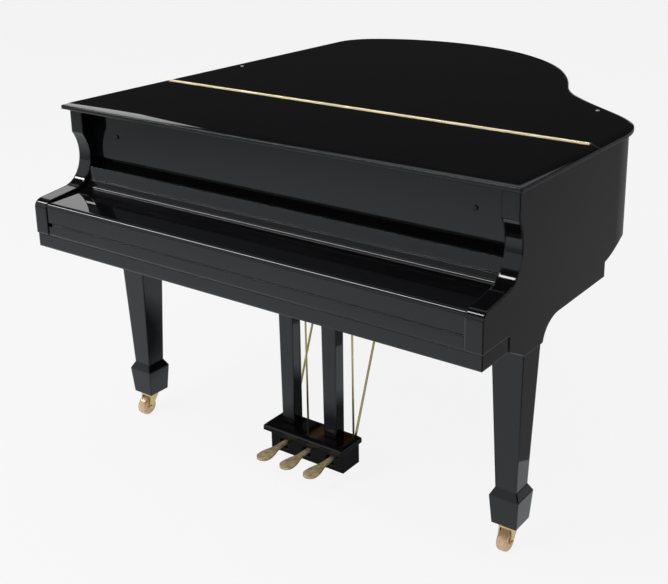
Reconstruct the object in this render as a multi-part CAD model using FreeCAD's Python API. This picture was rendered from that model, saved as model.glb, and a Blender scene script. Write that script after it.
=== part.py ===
import FreeCAD, Part
import math
import os
from FreeCAD import Vector

# Lid. Its outline also sets the case: spine on the left, tail at the back, bent side on the right.
lid_width = 1466.0
lid_length = 1530.0
lid_thickness = 19.0
case_height = 329.0
lid_bevel_width = 23.0
lid_bevel_drop = 8.0
lid_overhang = 12.0
lid_seat_gap = 0.4
flap_depth = 402.0
flap_gap = 1.0
# each point: share of half the width, share of the length, heading in degrees
lid_curve_shares = (
    (-1.0, 0.840, 90),
    (-0.894, 0.935, 35),
    (-0.437, 1.0, 0),
    (0.082, 0.926, -35),
    (0.471, 0.683, -66),
    (0.764, 0.533, -36),
    (0.941, 0.460, -50),
    (1.0, 0.366, -90),
)

# Brass hinge along the split of the lid
flap_hinge_barrel = 2.6
flap_hinge_pin = 1.1
flap_hinge_lift = 0.4
flap_hinge_leaf_width = 9.0
flap_hinge_leaf_thickness = 2.2
flap_rebate_depth = 3.0
flap_hinge_end_inset = 26.0
flap_knuckle_count = 24
flap_knuckle_gap = 0.4
flap_hinge_side_gap = 0.3

# Hinges at the spine
spine_hinge_length = 90.0
spine_hinge_barrel = 4.4
spine_hinge_pin = 2.0
spine_hinge_leaf_thickness = 1.4
spine_hinge_leaf_drop = 42.0
spine_hinge_lid_leaf_width = 40.0
spine_hinge_face_gap = 0.3
spine_hinge_reveal = 1.0
spine_knuckle_gap = 0.4
spine_hinge_shares = (0.40, 0.78)

# Case: outer rim with its arms, inner rim
arm_reach = 131.0
arm_depth = 170.5
rim_thickness = 46.0
inner_rim_thickness = 45.0
inner_rim_height = 109.0
inner_rim_front = 92.0
glue_gap = 0.2
keybed_bottom = 633.0
keybed_thickness = 40.0
keybed_reach = 128.0
keybed_back = 440.0
keybed_ear_inset = 2.0
bracket_drop = 40.0
bracket_front = -10.0
bracket_toe = 68.0
bracket_back = 158.0
sweep_back = 233.0
sweep_start_heading = 75
sweep_end_heading = 2
side_rise = 13.0
step_back = 505.0
step_height = 40.0
ogee_back = 616.0
ogee_rise = 33.0
ogee_heading = 10
# each point: share of the arm's depth, share of its height, heading in degrees
arm_profile_shares = (
    (0.886, 1.0, None),
    (0.886, 0.794, -57),
    (1.0, 0.593, -90),
    (0.616, 0.329, 187),
    (0.141, 0.298, 187),
    (0.0, 0.228, 270),
    (0.0, 0.0, None),
)

# Key well: key slip, key blocks, fallboard, stretcher
slip_thickness = 22.0
slip_height = 34.0
slip_notch_width = 16.0
slip_notch_height = 9.0
fallboard_gap = 1.5
fallboard_depth = 174.0
fallboard_height = 125.5
fallboard_pivot_back = 40.0
fallboard_pivot_rise = 117.0
fallboard_pin = 4.0
fallboard_pin_length = 10.0
pin_clearance = 0.05
# each point: share of the depth, share of the height, heading in degrees
fallboard_profile_shares = (
    (0.0, 0.0, None),
    (0.0, 0.347, 90),
    (0.075, 0.450, 5),
    (0.816, 0.538, 5),
    (0.877, 0.713, 85),
    (0.900, 0.729, None),
    (0.941, 1.0, None),
    (1.0, 1.0, None),
    (1.0, 0.602, None),
    (0.966, 0.347, None),
    (0.126, 0.299, None),
    (0.126, 0.0, None),
)
stretcher_setback = 64.0
stretcher_thickness = 20.0
stretcher_gap = 22.0
stretcher_lip_height = 38.0
stretcher_lip_thickness = 6.0
button_radius = 6.5
button_height = 4.0
button_share = 0.798
button_drop = 74.6
key_block_width = 48.8
key_block_margin = 15.0
key_block_height = 69.0
key_block_back = 30.0

# Keys: they share out the width between the key blocks; slim sticks carry naturals and sharps
key_gap = 1.0
key_front_reach = 103.0
key_length = 393.0
key_rise = 33.0
natural_height = 22.0
natural_head = 50.0
sharp_width = 10.5
sharp_length = 95.0
sharp_rise = 12.0
sharp_slope = 8.0
stick_gap = 1.7
stick_neck = 6.0
first_note = 21
last_note = 108
notes_per_octave = 12
naturals_per_octave = 7
first_c_note = 24
naturals_below_first_c = 2
naturals_in_all = 52
natural_steps = {0: 0, 2: 1, 4: 2, 5: 3, 7: 4, 9: 5, 11: 6}
pitch_names = ("c", "c_sharp", "d", "d_sharp", "e", "f", "f_sharp", "g", "g_sharp", "a", "a_sharp", "b")

# Action frame, hammers, dampers
action_margin = 11.0
action_end_thickness = 8.0
rail_seat_gap = 0.3
front_rail_depth = 50.0
front_rail_height = 17.0
balance_back = 115.0
balance_rail_depth = 40.0
balance_ridge_radius = 4.0
balance_ridge_height = 5.0
back_rail_back = 285.0
back_rail_depth = 40.0
hammer_pivot_back = 152.0
hammer_drop = 82.0
hammer_pin = 1.5
hammer_rail_depth = 18.0
hammer_rail_height = 20.0
hammer_rail_gap = 12.0
hammer_butt = 5.0
hammer_reach = 110.0
shank_size = 6.0
hammer_head_width = 10.0
hammer_head_depth = 26.0
hammer_head_above = 36.0
hammer_head_below = 18.0
hammer_nose = 9.0
damper_count = 66
damper_back = 305.0
damper_head_length = 40.0
damper_head_width = 9.0
damper_head_height = 10.0
damper_seat_gap = 0.3
damper_wire = 0.8
damper_wire_bass_shift = 5.0
damper_reach = 112.0
damper_tray_thickness = 10.0
damper_tray_depth = 14.0

# Soundboard, bridges, plate, pinblock, strings
soundboard_drop = 58.0
soundboard_thickness = 8.0
soundboard_front = 335.0
soundboard_edge_gap = 0.5
rib_count = 8
rib_width = 24.0
rib_height = 18.0
rib_inset = 30.0
belly_rail_depth = 50.0
beam_width = 60.0
beam_height = 70.0
# each beam: share of half the width at the belly rail, and at the tail
beam_shares = ((-0.62, -0.62), (-0.30, -0.34), (0.05, -0.06), (0.40, 0.22))
bridge_width = 30.0
bridge_gap = 0.2
agraffe_back = 245.0
treble_string_radius = 0.6
treble_long_share = 0.5784
treble_short = 105.0
treble_length_bend = 1.3
treble_slant = 0.26
treble_slant_bend = 1.5
strings_per_treble_note = 2
bass_note_count = 26
bass_rise = 24.0
bass_headroom = 20.0
bass_string_radius = 2.0
bass_slant = 0.165
bass_long_share = 0.67
bass_step = 5.0
string_tail = 60.0
pin_radius = 3.4
pin_stand = 8.0
pin_row_front = 110.0
pin_row_step = 50.0
pin_row_count = 2
string_pin_gap = 0.2
pinblock_front = 87.0
pinblock_depth = 128.0
pinblock_drop = 12.2
pinblock_thickness = 31.8
plate_web_thickness = 8.0
plate_web_margin = 35.0
plate_web_overlap = 6.0
plate_cheek_width = 25.0
plate_wall = 12.0
plate_flange = 60.0
plate_flange_height = 38.0
plate_flange_thickness = 10.0
plate_edge_gap = 2.0
strut_width = 14.0
strut_headroom = 4.0
strut_height = 16.0
strut_riser_depth = 16.0
strut_shares = (-0.57, -0.17, 0.22)

# Music shelf and desk
shelf_share = 0.6412
shelf_drop = 26.0
shelf_thickness = 6.0
shelf_back = 320.0
desk_margin = 40.0
desk_front = 88.0
desk_depth = 195.0
desk_thickness = 10.0
desk_lift = 3.0
desk_pin = 2.5
desk_pin_length = 14.0
desk_pivot_inset = 6.0
desk_ear_width = 12.0
desk_ear_gap = 1.0

# Lid prop, stowed inside the bent side
prop_foot_shares = (0.5389, 0.5425)
prop_tip_shares = (0.8049, 0.1373)
prop_drop = 54.0
prop_width = 18.0
prop_pin = 4.0
prop_pin_length = 14.0
prop_axis_tilt = -24.5
prop_bracket_size = 26.0
prop_bracket_reach = 90.0
prop_bracket_gap = 0.3

# Legs and casters
leg_inset = 91.0
leg_back = 176.0
rear_leg_shares = (-0.341, 0.817)
leg_top_size = 90.0
leg_neck_size = 60.0
leg_foot_size = 83.0
leg_sole_size = 71.0
leg_neck_rise = 21.0
leg_foot_rise = 80.5
leg_plate_depth = 150.0
leg_plate_width = 80.0
rear_leg_plate = 130.0
rear_leg_plate_thickness = 20.0
socket_radius = 22.0
socket_thickness = 7.0
stem_radius = 6.0
stem_length = 34.0
caster_wheel_radius = 28.0
caster_wheel_width = 30.0
caster_trail = 24.0
caster_headroom = 4.2
caster_axle = 4.0
fork_gap = 1.0
fork_thickness = 4.0
fork_crown_radius = 18.0
fork_cheek_half = 7.0
fork_crown_thickness = 6.0
fork_top_gap = 0.3
wheel_edge_round = 9.0

# Lyre, pedals and trap levers
lyre_inset = 14.0
lyre_post_outer = 100.0
lyre_post_inner = 50.0
lyre_post_foot_outer = 96.0
lyre_post_foot_inner = 53.0
lyre_post_depth = 38.0
lyre_head_half = 122.0
lyre_head_thickness = 15.0
lyre_head_overhang = 10.0
pedal_box_margin = 46.0
pedal_box_front = 154.0
pedal_box_depth = 76.0
pedal_box_bottom = 42.0
pedal_box_height = 66.0
pedal_box_wall = 10.0
pedal_cap_side = 10.0
pedal_cap_reach = 22.0
pedal_cap_thickness = 22.0
pedal_cap_bevel = 8.0
pedal_spacing = 83.0
pedal_rise = 32.0
pedal_reach = 108.0
pedal_pivot_inset = 41.0
pedal_tail = 46.0
pedal_thickness = 7.0
pedal_waist = 15.0
pedal_spoon = 42.0
pedal_spoon_length = 95.0
pedal_nose = 21.0
pedal_slot_side_gap = 6.0
pedal_slot_height = 28.0
pedal_pin = 3.0
pedal_partition = 8.0
rod_inset = 9.0
rod_radius = 3.0
rod_seat_gap = 0.3
lever_drop = 33.0
lever_thickness = 12.0
lever_width = 16.0
lever_lead = 12.0
lever_pivot_inset = 56.0
lever_end = 9.0
lever_pin = 4.0
hanger_thickness = 8.0
hanger_gap = 0.6
hanger_drop = 40.0
hanger_depth = 22.0
brace_radius = 3.5
brace_offset = 28.0
brace_foot_height = 100.0
brace_top_inset = 8.0
brace_foot_size = 18.0
brace_foot_thickness = 8.0

cut_overrun = 5.0

# Heading words, in degrees, for outlines seen from above
towards_player = -90
towards_tail = 90
towards_bass = 180

# Places worked out from the sizes above: across, then along, then up
lid_half = lid_width / 2
rim_inset = lid_overhang + rim_thickness
well_half = lid_half - rim_inset
inner_rim_inset = rim_inset + glue_gap
inner_face_inset = inner_rim_inset + inner_rim_thickness
key_block_inner = well_half - glue_gap - key_block_width
keys_left = key_block_margin - key_block_inner
natural_pitch = -2 * keys_left / naturals_in_all
octave = naturals_per_octave * natural_pitch
semitone = octave / notes_per_octave
action_half = action_margin - keys_left
plate_web_half = well_half - plate_web_margin
button_spread = button_share * lid_half
shelf_half = shelf_share * lid_half
desk_half = shelf_half - desk_margin
leg_x = lid_half - leg_inset
pedal_box_half = pedal_spacing + pedal_box_margin
pedal_cap_half = pedal_box_half + pedal_cap_side
brace_x = pedal_spacing + brace_offset

front = (arm_reach - lid_length) / 2
arm_front = front - arm_reach
key_front = front - key_front_reach
key_back = key_front + key_length
sharp_front = key_front + natural_head + key_gap
sharp_back = sharp_front + sharp_length
stick_front = sharp_back + stick_neck
treble_long = treble_long_share * lid_length
bass_long = bass_long_share * lid_length
pedal_box_back = pedal_box_front + pedal_box_depth
pedal_tip_front = pedal_box_front - pedal_reach
pedal_pivot_back = pedal_box_front + pedal_pivot_inset
pedal_end_back = pedal_box_back + pedal_tail
rod_back = pedal_end_back - rod_inset
lever_front = rod_back - lever_lead
lever_pivot_back = keybed_back - lever_pivot_inset

keybed_top = keybed_bottom + keybed_thickness
bracket_bottom = keybed_bottom - bracket_drop
side_bottom = keybed_bottom + side_rise
step_top = side_bottom + step_height
rim_rear_bottom = step_top + ogee_rise
lid_underside = keybed_top + case_height
lid_top = lid_underside + lid_thickness
rim_top = lid_underside - lid_seat_gap
arm_height = rim_top - keybed_top
key_block_top = keybed_top + key_block_height
fallboard_bottom = keybed_top + slip_height + fallboard_gap
stretcher_bottom = fallboard_bottom + fallboard_height + stretcher_gap
key_bottom = keybed_top + key_rise
natural_top = key_bottom + natural_height
balance_height = key_bottom - rail_seat_gap - balance_ridge_radius
shelf_bottom = lid_underside - shelf_drop
strut_top = shelf_bottom - strut_headroom
strut_bottom = strut_top - strut_height
bass_string_height = strut_bottom - bass_headroom
treble_string_height = bass_string_height - bass_rise
hammer_height = treble_string_height - hammer_drop
damper_tray_height = treble_string_height - damper_reach
soundboard_bottom = treble_string_height - soundboard_drop
soundboard_top = soundboard_bottom + soundboard_thickness
beam_bottom = soundboard_bottom - inner_rim_height
pinblock_top = treble_string_height - pinblock_drop
pinblock_bottom = pinblock_top - pinblock_thickness
plate_web_top = pinblock_top + glue_gap + plate_web_thickness
prop_height = lid_underside - prop_drop
fork_top = 2 * caster_wheel_radius + caster_headroom + fork_crown_thickness
leg_sole_height = fork_top + fork_top_gap + socket_thickness
leg_foot_height = leg_sole_height + leg_foot_rise
leg_neck_height = leg_foot_height + leg_neck_rise
pedal_height = pedal_box_bottom + pedal_rise
lever_bottom = keybed_bottom - lever_drop


def box(x0, x1, y0, y1, z0, z1):
    return Part.makeBox(x1 - x0, y1 - y0, z1 - z0, Vector(x0, y0, z0))


def rod(start, end, radius):
    span = end - start
    return Part.makeCylinder(radius, span.Length, start, span)


def mirrored(shape):
    return shape.mirror(Vector(), Vector(1, 0, 0))


def direction(degrees):
    return Vector(math.cos(math.radians(degrees)), math.sin(math.radians(degrees)), 0)


def arc_between(start, tangent, end):
    """Three points of the arc that leaves start along tangent and reaches end, with their headings."""
    chord = end - start
    along = Vector(chord).normalize()
    side = Vector(-along.y, along.x, 0)
    turn = math.atan2(tangent.dot(side), tangent.dot(along))
    middle = (start + end) * 0.5 + side * (chord.Length / 2 * math.tan(turn / 2))
    leave = direction(math.degrees(math.atan2(along.y, along.x) - turn))
    return ((start, tangent), (middle, along), (end, leave))


def biarc(start, start_heading, end, end_heading):
    """Two arcs that join smoothly from one point and heading to the next."""
    leave = direction(start_heading)
    arrive = direction(end_heading)
    gap = end - start
    bend = 2 * (1 - leave.dot(arrive))
    reach = 2 * gap.dot(leave + arrive)
    if bend < 1e-6:
        length = gap.dot(gap) / reach
    else:
        length = (math.sqrt(reach * reach + 4 * bend * gap.dot(gap)) - reach) / (2 * bend)
    joint = (start + leave * length + end - arrive * length) * 0.5
    first = arc_between(start, leave, joint)
    return (first, arc_between(joint, first[2][1], end))


def arc_edge(points):
    start, middle, end = points
    bow = (middle - start).cross(end - middle).Length
    if bow < 1e-4 * (end - start).Length:
        return Part.LineSegment(start, end).toShape()
    return Part.Arc(start, middle, end).toShape()


def profile_edges(points):
    """Edges through flat points: smooth arcs where two neighbours both have a heading."""
    edges = []
    for (u0, v0, heading0), (u1, v1, heading1) in zip(points, points[1:]):
        start, end = Vector(u0, v0, 0), Vector(u1, v1, 0)
        if heading0 is None or heading1 is None:
            edges.append(Part.LineSegment(start, end).toShape())
        else:
            for arc in biarc(start, heading0, end, heading1):
                edges.append(arc_edge([point for point, heading in arc]))
    return edges


def side_prism(points, x0, x1):
    """A solid along X from a closed profile of (y, z, heading) points."""
    wire = Part.Wire(profile_edges(list(points) + [points[0]]))
    face = Part.Face(wire)
    face.Placement = FreeCAD.Placement(Vector(x0, 0, 0), FreeCAD.Rotation(Vector(1, 1, 1), 120))
    return face.extrude(Vector(x1 - x0, 0, 0))


def case_wire(inset, front_y, height):
    """The lid's outline moved inwards by inset, closed by a straight front at front_y."""
    def moved(point, heading):
        inwards = Vector(heading.y, -heading.x, 0)
        return point + inwards * inset + Vector(0, 0, height)

    places = [(Vector(x * lid_half, front + y * lid_length, 0), turn) for x, y, turn in lid_curve_shares]
    curve = []
    for (start, heading0), (end, heading1) in zip(places, places[1:]):
        for arc in biarc(start, heading0, end, heading1):
            curve.append(arc_edge([moved(point, heading) for point, heading in arc]))
    left = Vector(-lid_half + inset, front_y, height)
    right = Vector(lid_half - inset, front_y, height)
    spine_end = moved(places[0][0], direction(places[0][1]))
    cheek_end = moved(places[-1][0], direction(places[-1][1]))
    spine = Part.LineSegment(left, spine_end).toShape()
    cheek = Part.LineSegment(cheek_end, right).toShape()
    return Part.Wire([spine] + curve + [cheek, Part.LineSegment(right, left).toShape()])


def case_solid(inset, front_y, z0, z1):
    return Part.Face(case_wire(inset, front_y, z0)).extrude(Vector(0, 0, z1 - z0))


def bevelled_leaf(front_y):
    """A lid slab with its whole edge sloped on top, as one piece before it is split in two."""
    edge_top = lid_top - lid_bevel_drop
    slab = case_solid(0, front_y, lid_underside, edge_top)
    lower = case_wire(0, front_y, edge_top)
    upper = case_wire(lid_bevel_width, front_y + lid_bevel_width, lid_top)
    return slab.fuse(Part.makeLoft([lower, upper], True, True)).removeSplitter()


def split_y():
    return front + flap_depth


def flap_axis_height():
    return lid_top + flap_hinge_lift


def hinge_rebate():
    reach = flap_hinge_leaf_width + flap_hinge_side_gap
    half = lid_half - flap_hinge_end_inset + flap_hinge_side_gap
    floor = lid_top - flap_rebate_depth
    return box(-half, half, split_y() - reach, split_y() + reach, floor, lid_top + cut_overrun)


def spine_hinge_places():
    return [front + share * lid_length for share in spine_hinge_shares]


def spine_axis():
    x = -lid_half + lid_overhang - spine_hinge_reveal - spine_hinge_barrel
    return x, lid_underside - spine_hinge_barrel - spine_hinge_reveal


def lid():
    shape = bevelled_leaf(front)
    keep_from = split_y() + flap_gap / 2
    far = front - cut_overrun
    shape = shape.cut(box(-lid_width, lid_width, far, keep_from, 0, lid_top + cut_overrun))
    shape = shape.cut(hinge_rebate())
    pocket_top = lid_underside + spine_hinge_leaf_thickness + 2 * spine_hinge_face_gap
    inner = -lid_half + spine_hinge_lid_leaf_width + spine_hinge_face_gap
    for y in spine_hinge_places():
        half = spine_hinge_length / 2 + spine_hinge_face_gap
        shape = shape.cut(box(-lid_width, inner, y - half, y + half, keybed_top, pocket_top))
    return shape


def lid_flap():
    shape = bevelled_leaf(front)
    keep_to = split_y() - flap_gap / 2
    shape = shape.cut(box(-lid_width, lid_width, keep_to, lid_length, 0, lid_top + cut_overrun))
    return shape.cut(hinge_rebate())


def flap_hinge(side):
    """One leaf of the long hinge with its knuckles; side is 1 for the lid and -1 for the flap."""
    half = lid_half - flap_hinge_end_inset
    floor = lid_top - flap_rebate_depth
    axis_z = flap_axis_height()
    near = flap_hinge_barrel + flap_hinge_side_gap
    edges = sorted((split_y() + side * near, split_y() + side * flap_hinge_leaf_width))
    leaf = box(-half, half, edges[0], edges[1], floor, floor + flap_hinge_leaf_thickness)
    step = 2 * half / flap_knuckle_count
    first = 0 if side > 0 else 1
    bore_radius = flap_hinge_pin + (pin_clearance if side < 0 else 0)
    pieces = []
    for index in range(first, flap_knuckle_count, 2):
        x0 = -half + index * step + flap_knuckle_gap / 2
        x1 = -half + (index + 1) * step - flap_knuckle_gap / 2
        barrel = rod(Vector(x0, split_y(), axis_z), Vector(x1, split_y(), axis_z), flap_hinge_barrel)
        web = sorted((split_y(), split_y() + side * flap_hinge_leaf_width))
        web_box = box(x0, x1, web[0], web[1], floor, floor + flap_hinge_leaf_thickness)
        pieces += [barrel, web_box]
    shape = leaf.multiFuse(pieces)
    pin_ends = (Vector(-half, split_y(), axis_z), Vector(half, split_y(), axis_z))
    if side < 0:
        return shape.cut(rod(pin_ends[0], pin_ends[1], bore_radius))
    return shape.fuse(rod(pin_ends[0], pin_ends[1], flap_hinge_pin))


def spine_knuckles(indexes, y_middle, radius):
    """Barrels of one spine hinge, which has three knuckles."""
    x, z = spine_axis()
    step = spine_hinge_length / 3
    barrels = []
    for index in indexes:
        y0 = y_middle - spine_hinge_length / 2 + index * step + spine_knuckle_gap / 2
        y1 = y0 + step - spine_knuckle_gap
        barrels.append((rod(Vector(x, y0, z), Vector(x, y1, z), radius), y0, y1))
    return barrels


def rim_hinge_leaves():
    x, z = spine_axis()
    face = -lid_half + lid_overhang - spine_hinge_face_gap
    solids = []
    for y in spine_hinge_places():
        half = spine_hinge_length / 2
        leaf = box(face - spine_hinge_leaf_thickness, face, y - half, y + half,
                   z - spine_hinge_leaf_drop, z - spine_hinge_barrel - spine_knuckle_gap)
        for barrel, y0, y1 in spine_knuckles((0, 2), y, spine_hinge_barrel):
            arm = box(face - spine_hinge_leaf_thickness, face, y0, y1, z - spine_hinge_leaf_drop, z)
            leaf = leaf.fuse(barrel).fuse(arm)
        ends = (Vector(x, y - half - cut_overrun, z), Vector(x, y + half + cut_overrun, z))
        solids.append(leaf.cut(rod(ends[0], ends[1], spine_hinge_pin + pin_clearance)))
    return solids


def lid_hinge_leaves():
    x, z = spine_axis()
    bottom = lid_underside + spine_hinge_face_gap
    top = bottom + spine_hinge_leaf_thickness
    solids = []
    for y in spine_hinge_places():
        half = spine_hinge_length / 2
        leaf = box(x, -lid_half + spine_hinge_lid_leaf_width, y - half, y + half, bottom, top)
        for barrel, y0, y1 in spine_knuckles((1,), y, spine_hinge_barrel):
            post = box(x - spine_hinge_barrel, x, y0, y1, z, top)
            leaf = leaf.fuse(barrel).fuse(post)
        pin = rod(Vector(x, y - half, z), Vector(x, y + half, z), spine_hinge_pin)
        solids.append(leaf.fuse(pin))
    return solids


def fallboard_point(share_y, share_z):
    y = front - keybed_reach + share_y * fallboard_depth
    z = fallboard_bottom + share_z * fallboard_height
    return y, z


def fallboard_axis():
    return front + fallboard_pivot_back, keybed_top + fallboard_pivot_rise


def arm_cutter():
    """What is taken away in front of the two arms, seen from the side."""
    points = []
    for share_y, share_z, heading in arm_profile_shares:
        points.append((arm_front + share_y * arm_depth, keybed_top + share_z * arm_height, heading))
    far = arm_front - cut_overrun
    above = rim_top + cut_overrun
    top_y = points[0][0]
    points += [(far, keybed_top, None), (far, above, None), (top_y, above, None)]
    return side_prism(points, -lid_half, lid_half)


def rim_bottom_cutter():
    """What is taken away under the rim: the keybed's seat, the leg bracket and the raised back."""
    below = bracket_bottom - cut_overrun
    back = front + lid_length
    points = [
        (arm_front - cut_overrun, keybed_top, None),
        (front + bracket_front, keybed_top, None),
        (front + bracket_front, keybed_bottom, None),
        (front + bracket_toe, bracket_bottom, None),
        (front + bracket_back, bracket_bottom, sweep_start_heading),
        (front + sweep_back, side_bottom, sweep_end_heading),
        (front + step_back, side_bottom, None),
        (front + step_back, step_top, ogee_heading),
        (front + ogee_back, rim_rear_bottom, ogee_heading),
        (back, rim_rear_bottom, None),
        (back, below, None),
        (arm_front - cut_overrun, below, None),
    ]
    return side_prism(points, -lid_half, lid_half)


def outer_rim():
    shape = case_solid(lid_overhang, arm_front, bracket_bottom, rim_top)
    hollow = case_solid(rim_inset, arm_front - cut_overrun, bracket_bottom, rim_top)
    shape = shape.cut(hollow).cut(arm_cutter()).cut(rim_bottom_cutter())
    y, z = fallboard_axis()
    reach = well_half + fallboard_pin_length
    return shape.cut(rod(Vector(-reach, y, z), Vector(reach, y, z), fallboard_pin + pin_clearance))


def inner_rim():
    start = front + inner_rim_front
    shape = case_solid(inner_rim_inset, start, beam_bottom, soundboard_bottom)
    hollow = case_solid(inner_face_inset, start - cut_overrun, beam_bottom - cut_overrun,
                        soundboard_bottom + cut_overrun)
    return shape.cut(hollow)


def back_beams():
    """The belly rail across the case, and beams that run from it to the tail."""
    clear = case_solid(inner_face_inset + glue_gap, front + soundboard_front, beam_bottom, soundboard_bottom)
    rail_back = front + soundboard_front + belly_rail_depth
    half = lid_half
    rail = box(-half, half, front + soundboard_front, rail_back, beam_bottom, soundboard_bottom - glue_gap)
    foot_half = lid_half - inner_face_inset - glue_gap
    foot = box(-foot_half, foot_half, front + soundboard_front, rail_back, keybed_top + glue_gap, beam_bottom)
    solids = [rail.common(clear).fuse(foot).removeSplitter()]
    tail = front + lid_length
    start = rail_back + glue_gap
    for near_share, far_share in beam_shares:
        begin = Vector(near_share * lid_half - beam_width / 2, start, beam_bottom)
        end = Vector(far_share * lid_half - beam_width / 2, tail, beam_bottom)
        width = Vector(beam_width, 0, 0)
        outline = Part.makePolygon([begin, begin + width, end + width, end, begin])
        solids.append(Part.Face(outline).extrude(Vector(0, 0, beam_height)).common(clear))
    return solids


def keybed():
    """The slab under the keys, with ears under the arms, and the hangers that carry the trap levers."""
    inner = well_half - glue_gap
    slab = box(-inner, inner, front - keybed_reach, front + keybed_back, keybed_bottom, keybed_top)
    ear = lid_half - lid_overhang - keybed_ear_inset
    ears = box(-ear, ear, front - keybed_reach, front + bracket_front - glue_gap, keybed_bottom, keybed_top)
    solids = [slab.fuse(ears).removeSplitter()]
    for x in pedal_places():
        offset = lever_width / 2 + hanger_gap
        for x0 in (x - offset - hanger_thickness, x + offset):
            y = front + lever_pivot_back
            ear_block = box(x0, x0 + hanger_thickness, y - hanger_depth / 2, y + hanger_depth / 2,
                            keybed_bottom - hanger_drop, keybed_bottom)
            bore = rod(Vector(x0 - cut_overrun, y, lever_axis_height()),
                       Vector(x0 + hanger_thickness + cut_overrun, y, lever_axis_height()),
                       lever_pin + pin_clearance)
            solids.append(ear_block.cut(bore))
    return solids


def key_slip():
    half = well_half - glue_gap
    y0 = front - keybed_reach
    y1 = y0 + slip_thickness
    top = keybed_top + slip_height
    notch = box(-half, slip_notch_width - half, y0, y1, top - slip_notch_height, top)
    return box(-half, half, y0, y1, keybed_top, top).cut(notch)


def key_blocks():
    y0 = front - keybed_reach + slip_thickness + glue_gap
    block = box(key_block_inner, well_half - glue_gap, y0, front + key_block_back, keybed_top, key_block_top)
    return [block, mirrored(block)]


def stretcher():
    """A board across the case, with a thin lip at its back that comes down behind the closed fallboard."""
    half = well_half - glue_gap
    y0 = front + stretcher_setback
    y1 = y0 + stretcher_thickness
    board = box(-half, half, y0, y1, stretcher_bottom, rim_top)
    lip_bottom = stretcher_bottom - stretcher_lip_height
    lip = box(-half, half, y1 - stretcher_lip_thickness, y1, lip_bottom, stretcher_bottom)
    return board.fuse(lip).removeSplitter()


def rubber_buttons():
    y = front + stretcher_setback
    z = rim_top - button_drop
    places = (-button_spread, button_spread)
    return [rod(Vector(x, y, z), Vector(x, y - button_height, z), button_radius) for x in places]


def fallboard():
    points = []
    for share_y, share_z, heading in fallboard_profile_shares:
        points.append(fallboard_point(share_y, share_z) + (heading,))
    half = well_half - fallboard_gap
    board = side_prism(points, -half, half)
    y, z = fallboard_axis()
    pin_end = well_half + fallboard_pin_length - fallboard_gap
    return board.fuse(rod(Vector(-pin_end, y, z), Vector(pin_end, y, z), fallboard_pin)).removeSplitter()


def stick_middle(note):
    left_of_first_c = keys_left + naturals_below_first_c * natural_pitch
    return left_of_first_c + (note - first_c_note + 0.5) * semitone


def key_left_of_octave(note):
    turns = note // notes_per_octave - first_c_note // notes_per_octave
    return keys_left + naturals_below_first_c * natural_pitch + turns * octave


def natural_key(note):
    """A natural: wide head at the front, tail between the sharps, slim stick behind."""
    step = note % notes_per_octave
    head_left = key_left_of_octave(note) + natural_steps[step] * natural_pitch + key_gap / 2
    head_right = head_left + natural_pitch - key_gap
    tail_left, tail_right = head_left, head_right
    if (step - 1) % notes_per_octave not in natural_steps and note > first_note:
        tail_left = stick_middle(note - 1) + sharp_width / 2 + key_gap
    if (step + 1) % notes_per_octave not in natural_steps and note < last_note:
        tail_right = stick_middle(note + 1) - sharp_width / 2 - key_gap
    middle = stick_middle(note)
    half = (semitone - stick_gap) / 2
    head = box(head_left, head_right, key_front, key_front + natural_head, key_bottom, natural_top)
    tail = box(tail_left, tail_right, key_front + natural_head, sharp_back, key_bottom, natural_top)
    stick = box(middle - half, middle + half, stick_front, key_back, key_bottom, natural_top)
    neck = box(max(tail_left, middle - half), min(tail_right, middle + half), sharp_back, stick_front,
               key_bottom, natural_top)
    return head.multiFuse([tail, neck, stick]).removeSplitter()


def sharp_key(note):
    """A sharp: a raised cap with a sloped front on a slim stick."""
    middle = stick_middle(note)
    half = (semitone - stick_gap) / 2
    cap_top = natural_top + sharp_rise
    side = [
        (sharp_front, key_bottom, None),
        (sharp_front, natural_top, None),
        (sharp_front + sharp_slope, cap_top, None),
        (sharp_back, cap_top, None),
        (sharp_back, natural_top, None),
        (stick_front, natural_top, None),
        (stick_front, key_bottom, None),
    ]
    cap = side_prism(side, middle - sharp_width / 2, middle + sharp_width / 2)
    stick = box(middle - half, middle + half, stick_front, key_back, key_bottom, natural_top)
    return cap.fuse(stick).removeSplitter()


def keys_of(step):
    solids = []
    for note in range(first_note, last_note + 1):
        if note % notes_per_octave == step:
            solids.append(natural_key(note) if step in natural_steps else sharp_key(note))
    return solids


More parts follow.
